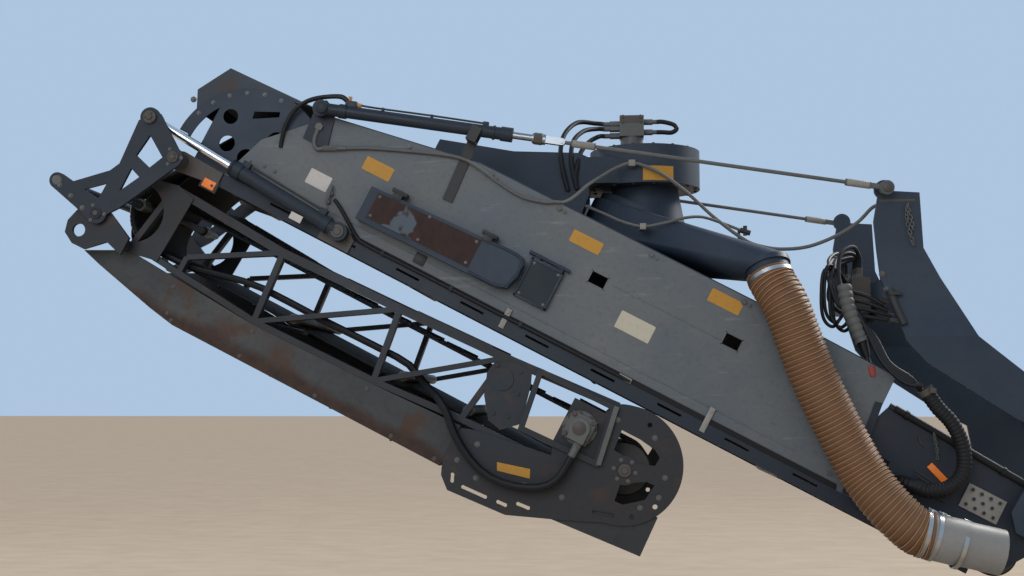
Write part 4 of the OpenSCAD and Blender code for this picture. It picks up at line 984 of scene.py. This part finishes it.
def make_fold_pins():
    """Caps on the pins of the folding gear, and the cranks' bolts and rollers."""
    small = [(0.014, 0.006), (0.016, 0), (0.030, 0), (0.030, -0.003)]
    wide = [(0.016, 0.010), (0.019, 0.001), (0.036, 0.001), (0.039, -0.004)]
    base = [(0.020, 0.006), (0.023, 0.001), (0.038, 0), (0.038, -0.005)]
    for name, body, pin, out, profile, screws in (
        ("fold_pin_caps", "boom", FOLD_PIVOT, CRANK_OUT + 0.012, small, ()),
        ("knuckle_pin_caps", "section", KNUCKLE, CRANK_OUT + 0.010, small, ()),
        ("rod_pin_caps", "cranks", ROD_PIN, CRANK_OUT + 0.014, wide, (90, 210, 330)),
        ("fold_base_caps", "boom", FOLD_BASE, FOLD_OUT + 0.038, base, ()),
    ):
        bm = bmesh.new()
        for side, way in SIDES:
            cap(bm, (*pin, side * out), way, profile)
            bolts(bm, around(pin, 0.027, screws), side * (out + 0.001), way, 0.005)
        piece(name, bm, "bare_steel", body, BOOM)

    bm = bmesh.new()
    for side, way in SIDES:
        face = side * CRANK_OUT
        cap(bm, (FOLD_PIVOT[0] + 0.549, FOLD_PIVOT[1] - 0.427, face), way,
            [(0.024, 0.006), (0.030, 0.001), (0.030, -0.003)])
        bolts(bm, [(FOLD_PIVOT[0] + du, FOLD_PIVOT[1] - dv)
                   for du, dv in ((0.520, 0.445), (0.430, 0.470), (0.335, 0.500))], face, way, 0.010)
        for pin in (FOLD_PIVOT, KNUCKLE):
            bolts(bm, around(pin, 0.050, (40, 160, 280)), face, way, 0.007)
        turned(bm, [(0.022, -0.060), (0.036, -0.058), (0.036, 0.058), (0.022, 0.060)],
               (FOLD_PIVOT[0] + 0.122, FOLD_PIVOT[1] - 0.338, side * 0.600), way, 24, ring=True)
    piece("crank_fasteners", bm, "zinc", "cranks", BOOM)


def make_elbow_hardware():
    """The orange reflector on its bracket, and the bolts of the elbow plates."""
    bracket, reflector = WALL - 0.0215, WALL - 0.026
    bm = bmesh.new()
    plate(bm, rectangle(5.0065, -0.444, 0.077, 0.052), reflector, bracket, 0.002)
    piece("elbow_reflector", bm, "reflector_orange", "boom", BOOM)
    bm = bmesh.new()
    block(bm, (4.950, -0.480, bracket), (5.060, -0.410, WALL - 0.0102), 0.002)
    rod(bm, (4.985, -0.444, reflector), (4.985, -0.444, reflector - 0.006), 0.008, 6)
    piece("reflector_bracket", bm, "black_paint", "boom", BOOM)

    inner = WALL_OUT - 0.0063
    bm = bmesh.new()
    for side, way in SIDES:
        bolts(bm, around((BOOM_L - 0.294, -0.247), 0.435, (20, 34, 48, 62, 76, 90)), side * inner, way, 0.009)
        bolt(bm, (BOOM_L + 0.187, -0.040, side * 0.6714), way, 0.012)
    piece("elbow_bolts", bm, "zinc", "boom", BOOM)


# Folding section, in its own axes: p from the knuckle towards the head, q up to the boom

def make_head_fittings():
    """Bolts, caps and the sign on the head plates."""
    bm = bmesh.new()
    for side, way in SIDES:
        face = side * HEAD_OUT
        bolts(bm, [(3.431, 0.336), (3.581, 0.164), (3.533, -0.049), (2.560, -0.160), (2.500, -0.290),
                   (2.640, -0.330), (2.900, -0.240), (3.120, -0.200), (3.200, 0.330), (3.600, 0.050)],
              face, way, 0.011)
        bolts(bm, around(HEAD_C, 0.062, [60 * k + 15 for k in range(6)]), face, way, 0.008)
    piece("head_bolts", bm, "zinc", "section", SECTION)

    bm = bmesh.new()
    for side, way in SIDES:
        cap(bm, (*HEAD_C, side * (HALF_W + 0.024)), way,
            [(0.018, 0.010), (0.022, 0.001), (0.034, 0), (0.034, -0.004)])
    piece("head_drum_caps", bm, "bare_steel", "section", SECTION)

    bm = bmesh.new()
    plate(bm, [(2.728, -0.238), (2.705, -0.196), (2.890, -0.143), (2.912, -0.192)],
          -HALF_W - 0.0165, -HALF_W - 0.013)
    piece("sign_head_plate", bm, "sign_yellow", "section", SECTION)


def make_motor_fittings():
    """Bolts and unions of the drive motor, and the flat bars round it."""
    bm = bmesh.new()
    bolts(bm, [(MOTOR_C[0] + du, MOTOR_C[1] + dv) for du in (-0.060, 0.060) for dv in (-0.060, 0.060)],
          -HEAD_OUT - 0.074, NEAR_WAY, 0.011)
    bolts(bm, around(MOTOR_C, 0.086, [45 * k + 22.345 for k in range(8)]),
          -HEAD_OUT - 0.018, NEAR_WAY, 0.008)
    cap(bm, (*MOTOR_C, -HEAD_OUT - 0.116), NEAR_WAY, [(0.030, 0.006), (0.040, 0.0), (0.050, -0.002)])
    piece("motor_bolts", bm, "bare_steel", "section", SECTION)

    bm = bmesh.new()
    for y in DRIVE_HOSE_Y:
        out = y - 0.178
        rod(bm, (3.063, 0.086, out), (3.063, 0.118, out), 0.024, 6)
        rod(bm, (3.062, 0.030, out), (3.063, 0.086, out), 0.0225)
    piece("motor_unions", bm, "zinc", "section", SECTION)

    corners = [Vector(c) for c in ((2.690, 0.372), (3.150, 0.380), (3.205, 0.058), (2.740, 0.036))]
    half = 0.016
    bm = bmesh.new()
    for k, (a, b) in enumerate(zip(corners, corners[1:] + corners[:1])):
        way = (b - a).normalized() * half
        across = Vector((-way.y, way.x))
        a, b = a - way, b + way
        plate(bm, [tuple(c) for c in (a - across, b - across, b + across, a + across)],
              -HALF_W - 0.040 - 0.001 * (k % 2), -HALF_W - 0.0135)
    piece("motor_guard", bm, "section_paint", "section", SECTION)
    bm = bmesh.new()
    plate(bm, [(3.148, 0.392), (3.176, 0.396), (3.232, 0.060), (3.206, 0.052)],
          -HALF_W - 0.046, -HALF_W - 0.040)
    piece("head_strap", bm, "zinc", "section", SECTION)


def make_section_fittings():
    """Pipes along the truss, and the cover's bolts."""
    bm = bmesh.new()
    for y in (-0.668, 0.668):
        for (p0, q0), (p1, q1) in (((0.400, 0.345), (0.900, 0.318)), ((1.150, 0.316), (1.700, 0.335)),
                                   ((1.900, 0.348), (2.380, 0.368))):
            rod(bm, (p0, q0, y), (p1, q1, y), 0.009, 12)
    piece("section_pipes", bm, "black_paint", "section", SECTION)

    bm = bmesh.new()
    for side, way in SIDES:
        bolts(bm, [(0.600, -0.330), (0.640, -0.356), (1.100, -0.352), (1.600, -0.350), (2.100, -0.348),
                   (2.380, -0.346), (0.560, -0.180), (1.100, -0.190), (1.850, -0.175), (2.380, -0.150)],
              side * HALF_W, way, 0.009)
    for p in (0.900, 1.300, 1.700, 2.100):
        for y in (-0.640, 0.640):
            bolt(bm, (p, -0.3733, y), -Y_AXIS, 0.008)
    piece("cover_bolts", bm, "bare_steel", "section", SECTION)


# Tail

def make_tail_fittings():
    """What sits on the near tail plate."""
    bm = bmesh.new()
    for outline, out in (
        ([(1.005, 0.200), (1.045, 0.190), (0.985, -0.345), (0.940, -0.345)], 0.020),
        ([(0.640, 0.020), (0.500, -0.030), (0.500, -0.048), (0.640, 0.002)], 0.006),
    ):
        plate(bm, outline, TAIL_FACE - out, TAIL_FACE)
    piece("tail_flange", bm, "frame_paint", "boom", BOOM)

    bm = bmesh.new()
    plate(bm, [(0.622, 0.030), (0.505, -0.012), (0.522, -0.046), (0.636, -0.004)],
          TAIL_FACE - 0.009, TAIL_FACE - 0.0055, 0.0015)
    piece("tail_reflector", bm, "reflector_orange", "boom", BOOM)

    bm = bmesh.new()
    for k in range(4):
        u, v = 0.690 - 0.014 * k, -0.045 - 0.020 * k
        plate(bm, [(u, v), (u - 0.190, v - 0.020), (u - 0.190, v - 0.030), (u, v - 0.010)],
              TAIL_FACE - 0.010, TAIL_FACE)
    plate(bm, [(0.752, 0.126), (0.716, 0.108), (0.700, 0.084), (0.736, 0.100)], TAIL_FACE - 0.010, TAIL_FACE)
    piece("tail_louvre", bm, "black_paint", "boom", BOOM)

    hose_r, hose_y = 0.0205, TAIL_FACE - 0.010
    bm = bmesh.new()
    rod(bm, (-0.060, 0.146, hose_y), (0.930, 0.206, hose_y), hose_r, 20)
    for u, v in ((0.860, 0.202), (0.560, 0.184), (0.260, 0.165)):
        band(bm, (u, v, hose_y), (0.990, 0.060, 0), hose_r, 0.026, 0.010, 20)
    piece("tail_hose_pipe", bm, "hose_rubber", "boom", BOOM)

    # The chain that ties the sleeve up
    bm = bmesh.new()
    chain(bm, [BOOM @ Vector((u, v, TAIL_FACE - out)) for u, v, out in (
        (0.690, 0.180, 0.032), (0.640, 0.110, 0.040), (0.610, 0.060, 0.030))], 0.022)
    piece("tail_chain", bm, "zinc", "boom")


def make_step_plate():
    """A pale perforated plate on the tail's side, with a raised rim round each hole, and black discs of
    painted shade for the dark of the holes.
    """
    u0, u1, v0, v1, inset = 0.170, 0.395, -0.115, 0.025, 0.020
    face, back = TAIL_FACE - 0.014, TAIL_FACE - 0.008
    hole_r = 0.0105
    bm = bmesh.new()
    block(bm, (u0, v0, face), (u1, v1, back), 0.002)
    for u in (u0 + inset, u1 - 2 * inset):
        block(bm, (u, v0 + inset, back - 0.0005), (u + inset, v1 - inset, TAIL_FACE))
    holes = [(u0 + 0.032 + 0.054 * i + (0.027 if j % 2 else 0), v0 + 0.026 + 0.044 * j)
             for j in range(3) for i in range(4 - j % 2)]
    for hole in holes:
        turned(bm, [(hole_r, -0.001), (0.0155, -0.001), (0.0135, 0.004), (hole_r, 0.004)],
               (*hole, face), NEAR_WAY, 20, ring=True)
    piece("step_plate", bm, "pale_steel", "boom", BOOM)
    # Black discs over the holes: painted shade where the holes would be dark, as the plate itself is solid
    bm = bmesh.new()
    for hole in holes:
        rod(bm, (*hole, face - 0.0006), (*hole, face + 0.0002), hole_r + 0.0001, 20)
    piece("step_plate_hole_shade", bm, "black_paint", "boom", BOOM)


def make_tail_sleeve():
    path = even_path(SLEEVE_ROUTE, 0.0055)
    bm = bmesh.new()
    tube(bm, path, ribbed(0.0420, 0.0385, len(path)), 28)
    piece("tail_sleeve_ribbed", bm, "hose_rubber", stands_for=["tail_sleeve"],
          bend=("console", "boom", SLEEVE_TOP, SLEEVE_END))

    way = (path[1] - path[0]).normalized()
    bm = bmesh.new()
    band(bm, path[0] + 0.005 * way, way, 0.040, 0.0445, 0.017)
    block(bm, path[0] + Vector((0.010, -0.058, -0.014)), path[0] + Vector((0.044, -0.036, 0.014)), 0.002)
    piece("sleeve_clamp", bm, "bare_steel", "console")


# Console

def make_console_fittings():
    """The chains on the near arm, and the pins' caps."""
    bm = bmesh.new()
    for route in (
        ((-1.075, 0.012, 2.010), (-1.083, 0.016, 1.930), (-1.068, 0.014, 1.850), (-1.052, 0.030, 1.775)),
        ((-1.080, 0.012, 2.004), (-1.060, 0.016, 1.920), (-1.050, 0.020, 1.860)),
    ):
        chain(bm, [Vector((x, ARM_FACE - out, z)) for x, out, z in route], 0.030)
    for x, z in ((-1.228, 1.612), (-1.205, 1.530)):
        for side in (-1, 1):
            bolt(bm, (x, side * (HALF_W + 0.007), z), side * Y_AXIS, 0.012)
    piece("console_chain", bm, "zinc", "console")

    bm = bmesh.new()
    for side in (-1, 1):
        way = side * Y_AXIS
        cap(bm, (EAR.x, side * (LUFF_OUT + 0.035), EAR.z), way,
            [(0.012, 0.008), (0.026, 0.002), (0.026, -0.002)])
        y = side * (HALF_W + 0.079)
        cap(bm, (LUFF_X, y, LUFF_Z), way, [(0.030, 0.005), (0.036, 0.0), (0.036, -0.002)], 32)
        for x, z in around((LUFF_X, LUFF_Z), 0.043, (45, 135, 225, 315)):
            bolt(bm, (x, y, z), way, 0.006)
    rod(bm, (-1.230, ARM_FACE + 0.010, 2.030), (-1.030, ARM_FACE + 0.010, 2.030), 0.014, 12)
    piece("console_pins", bm, "bare_steel", "console")


def make_strain_relief():
    """The grey strain relief of the hose bundle, its tail, and the red cap on that."""
    bm = bmesh.new()
    path = even_path([(-1.420, -0.600, 1.560), (-1.405, -0.620, 1.440), (-1.370, -0.640, 1.330),
                      (-1.335, -0.655, 1.235)], 0.010)
    tube(bm, path, ribbed(0.044, 0.037, len(path)), 24)
    piece("strain_relief", bm, "cable_grey", "console")
    end, tail_end = path[-1], (-1.296, -0.676, 1.090)
    bm = bmesh.new()
    rod(bm, end - Vector((0, 0, 0.002)), end + Vector((0.020, -0.008, -0.080)), 0.030, 20, 0.022)
    hoses(bm, [[end + Vector((0.018, -0.008, -0.070)), (-1.310, -0.668, 1.130), tail_end]], 0.016)
    piece("strain_relief_tail", bm, "hose_rubber", "console")
    bm = bmesh.new()
    rod(bm, (-1.296, -0.676, 1.095), (-1.286, -0.680, 1.040), 0.026, 16, 0.020)
    piece("red_cap", bm, "red_cap", "console")


def make_arm_guard():
    """The black guard of the near arm, on two straps."""
    y = -(HALF_W + 0.020)
    bm = bmesh.new()
    hoses(bm, [[(-1.190, y - 0.006, 1.520), (-1.165, y - 0.024, 1.430), (-1.125, y - 0.045, 1.325)]],
          0.022, 16, steps=6)
    for z in (1.500, 1.350):
        block(bm, (-1.200, y - 0.040, z - 0.010), (-1.130, y + 0.004, z + 0.010), 0.002)
    piece("arm_guard", bm, "black_paint", "console")


def make_console_hoses():
    """The thin hoses from the valve block to the sleeve and behind the near arm, with their unions."""
    port_x, port_z, front = -1.280, 1.690, -1.335
    bm = bmesh.new()
    for k in range(4):
        y, drop = -0.330 + 0.060 * k, 0.030 * k
        hoses(bm, [[
            (port_x, y, port_z), (port_x - 0.005, y - 0.020, port_z + 0.060),
            (-1.330 - 0.018 * k, y - 0.080, port_z + 0.110 - drop),
            (-1.415 - 0.018 * k, y - 0.160, port_z + 0.060 - drop),
            (-1.442 - 0.020 * k, -0.560, port_z - 0.080), (-1.420 - 0.014 * k, -0.610, port_z - 0.230),
            (-1.350 - 0.010 * k, -0.640, 1.395), (-1.305 + 0.010 * k, -0.690, 1.265),
            (-1.245 + 0.012 * k, -0.750, 1.115), (-1.140 + 0.012 * k, -0.795, 1.005 + 0.008 * k),
            SLEEVE_TOP + Vector((-0.020, 0.010 * (k - 1.5), 0.012 * (1.5 - k) + 0.010)),
        ]], 0.0125)
    for k in range(4):
        y = 0.100 + 0.060 * k
        hoses(bm, [[
            (port_x, y, port_z), (port_x - 0.010, y - 0.030, port_z + 0.070),
            (-1.360, y - 0.160, 1.800 - 0.02 * k), (-1.440, -0.220 - 0.04 * k, 1.740 - 0.03 * k),
            (-1.450 - 0.01 * k, -0.440, 1.640 - 0.05 * k),
            (-1.400, -0.540, 1.540 - 0.05 * k), (-1.300, -0.600, 1.500 - 0.04 * k),
            (-1.200 + 0.02 * k, -0.640, 1.440 - 0.03 * k),
        ]], 0.0115)
    piece("console_hose_bundle", bm, "hose_rubber", "console")

    bm = bmesh.new()
    for y0 in (-0.360, 0.060):
        for k in range(4):
            y = y0 + 0.040 + 0.060 * k
            rod(bm, (port_x, y, 1.630), (port_x, y, 1.652), 0.0215, 6)
        for z in (1.480, 1.545, 1.610):
            for k in range(3):
                y = y0 + 0.050 + 0.080 * k
                rod(bm, (front + 0.002, y, z), (front - 0.026, y, z), 0.016, 6)
    piece("valve_fittings", bm, "zinc", "console")

    bm = bmesh.new()
    for k, (x, y, z) in enumerate(((-1.500, -0.590, 1.500), (-1.525, -0.560, 1.530), (-1.480, -0.570, 1.480),
                                   (-1.545, -0.575, 1.505))):
        hoses(bm, [[(front, -0.310 + 0.04 * k, 1.545), (-1.400, -0.400, 1.640),
                    (x + 0.030, y + 0.040, z + 0.150), (x, y, z),
                    (x + 0.010, y, z - 0.130), (x + 0.060, y - 0.010, z - 0.180),
                    (x + 0.110, y - 0.015, z - 0.120), (front, -0.300 + 0.03 * k, 1.480)]], 0.010)
    piece("console_hose_loops", bm, "hose_rubber", "console")


def make_long_hose():
    """The long cable from the wall over the fan to the console."""
    route = [
        (-3.031, -0.690, 2.037), (-2.998, -0.660, 2.049), (-2.947, -0.600, 2.090), (-2.873, -0.520, 2.167),
        (-2.791, -0.440, 2.233), (-2.708, -0.395, 2.288), (-2.612, -0.375, 2.321), (-2.505, -0.370, 2.290),
        (-2.398, -0.365, 2.229), (-2.270, -0.370, 2.124), (-2.125, -0.380, 1.984), (-1.953, -0.400, 1.848),
        (-1.840, -0.420, 1.803), (-1.727, -0.440, 1.788), (-1.585, -0.460, 1.802), (-1.427, -0.480, 1.863),
        (-1.315, -0.500, 1.935), (-1.238, -0.520, 2.013), (-1.190, -0.540, 2.030),
    ]
    leaves_boom, meets_console = route[8], route[16]
    bm = bmesh.new()
    hoses(bm, [route], 0.0105)
    piece("long_hose", bm, "cable_grey", bend=("boom", "console", leaves_boom, meets_console))


def make_cone_cable():
    """The short cable round the fan's cone, its plug on a post of the duct, and the cables' clips."""
    route = [
        (-2.888, -0.340, 2.070), (-2.775, -0.430, 2.007), (-2.669, -0.500, 1.949), (-2.554, -0.530, 1.917),
        (-2.425, -0.540, 1.936), (-2.312, -0.510, 1.968), (-2.203, -0.440, 1.982), (-2.084, -0.380, 1.953),
        (-1.978, -0.370, 1.912),
    ]
    bm = bmesh.new()
    hoses(bm, [route], 0.009)
    piece("cone_cable", bm, "cable_grey", "boom")

    end, clip = Vector(route[-1]), Vector(route[3])
    foot = Vector((-1.985, -0.370, 1.765))
    bm = bmesh.new()
    rod(bm, end, end + Vector((0.060, 0, -0.020)), 0.016)
    rod(bm, end + Vector((0.030, 0, -0.034)), end + Vector((0.030, 0, 0.024)), 0.012, 12)
    rod(bm, foot, foot + Vector((0, 0, 0.153)), 0.008, 12)
    rod(bm, foot, foot + Vector((0, 0, 0.037)), 0.018, 6)
    piece("cone_cable_plug", bm, "black_paint", "boom")
    bm = bmesh.new()
    block(bm, (-2.632, -0.388, 2.302), (-2.592, -0.325, 2.340), 0.003)
    block(bm, clip - Vector((0.018, 0.013, 0.018)), clip + Vector((0.018, 0.080, 0.018)), 0.003)
    piece("long_hose_clips", bm, "pale_steel", "boom")


# What the frame shows

slots = {entry["node"]: entry["material_slot"] for entry in frame["record"]["subparts"]}
for node, obj in frame["nodes"].items():
    finish = FINISH[NODE_FINISH.get(node, slots[node])]
    if obj.material_slots:
        for holder in obj.material_slots:
            holder.material = finish
    else:
        obj.data.materials.append(finish)

make_camera()
make_floor(floor_finish("floor_paint"))
make_light()

make_extraction_hose()
make_fan_fittings()
make_signs()
make_wall_hardware()
make_side_box_fittings()
make_hatch_fittings()
make_wall_cables()
make_luff_fittings()
make_belt_cleats()
make_belt_bends()
make_elbow_hoses()
make_fold_fittings()
make_fold_pins()
make_elbow_hardware()
make_head_fittings()
make_motor_fittings()
make_section_fittings()
make_tail_fittings()
make_step_plate()
make_tail_sleeve()
make_console_fittings()
make_strain_relief()
make_arm_guard()
make_console_hoses()
make_long_hose()
make_cone_cable()

bpy.context.scene.view_settings.view_transform = "Standard"
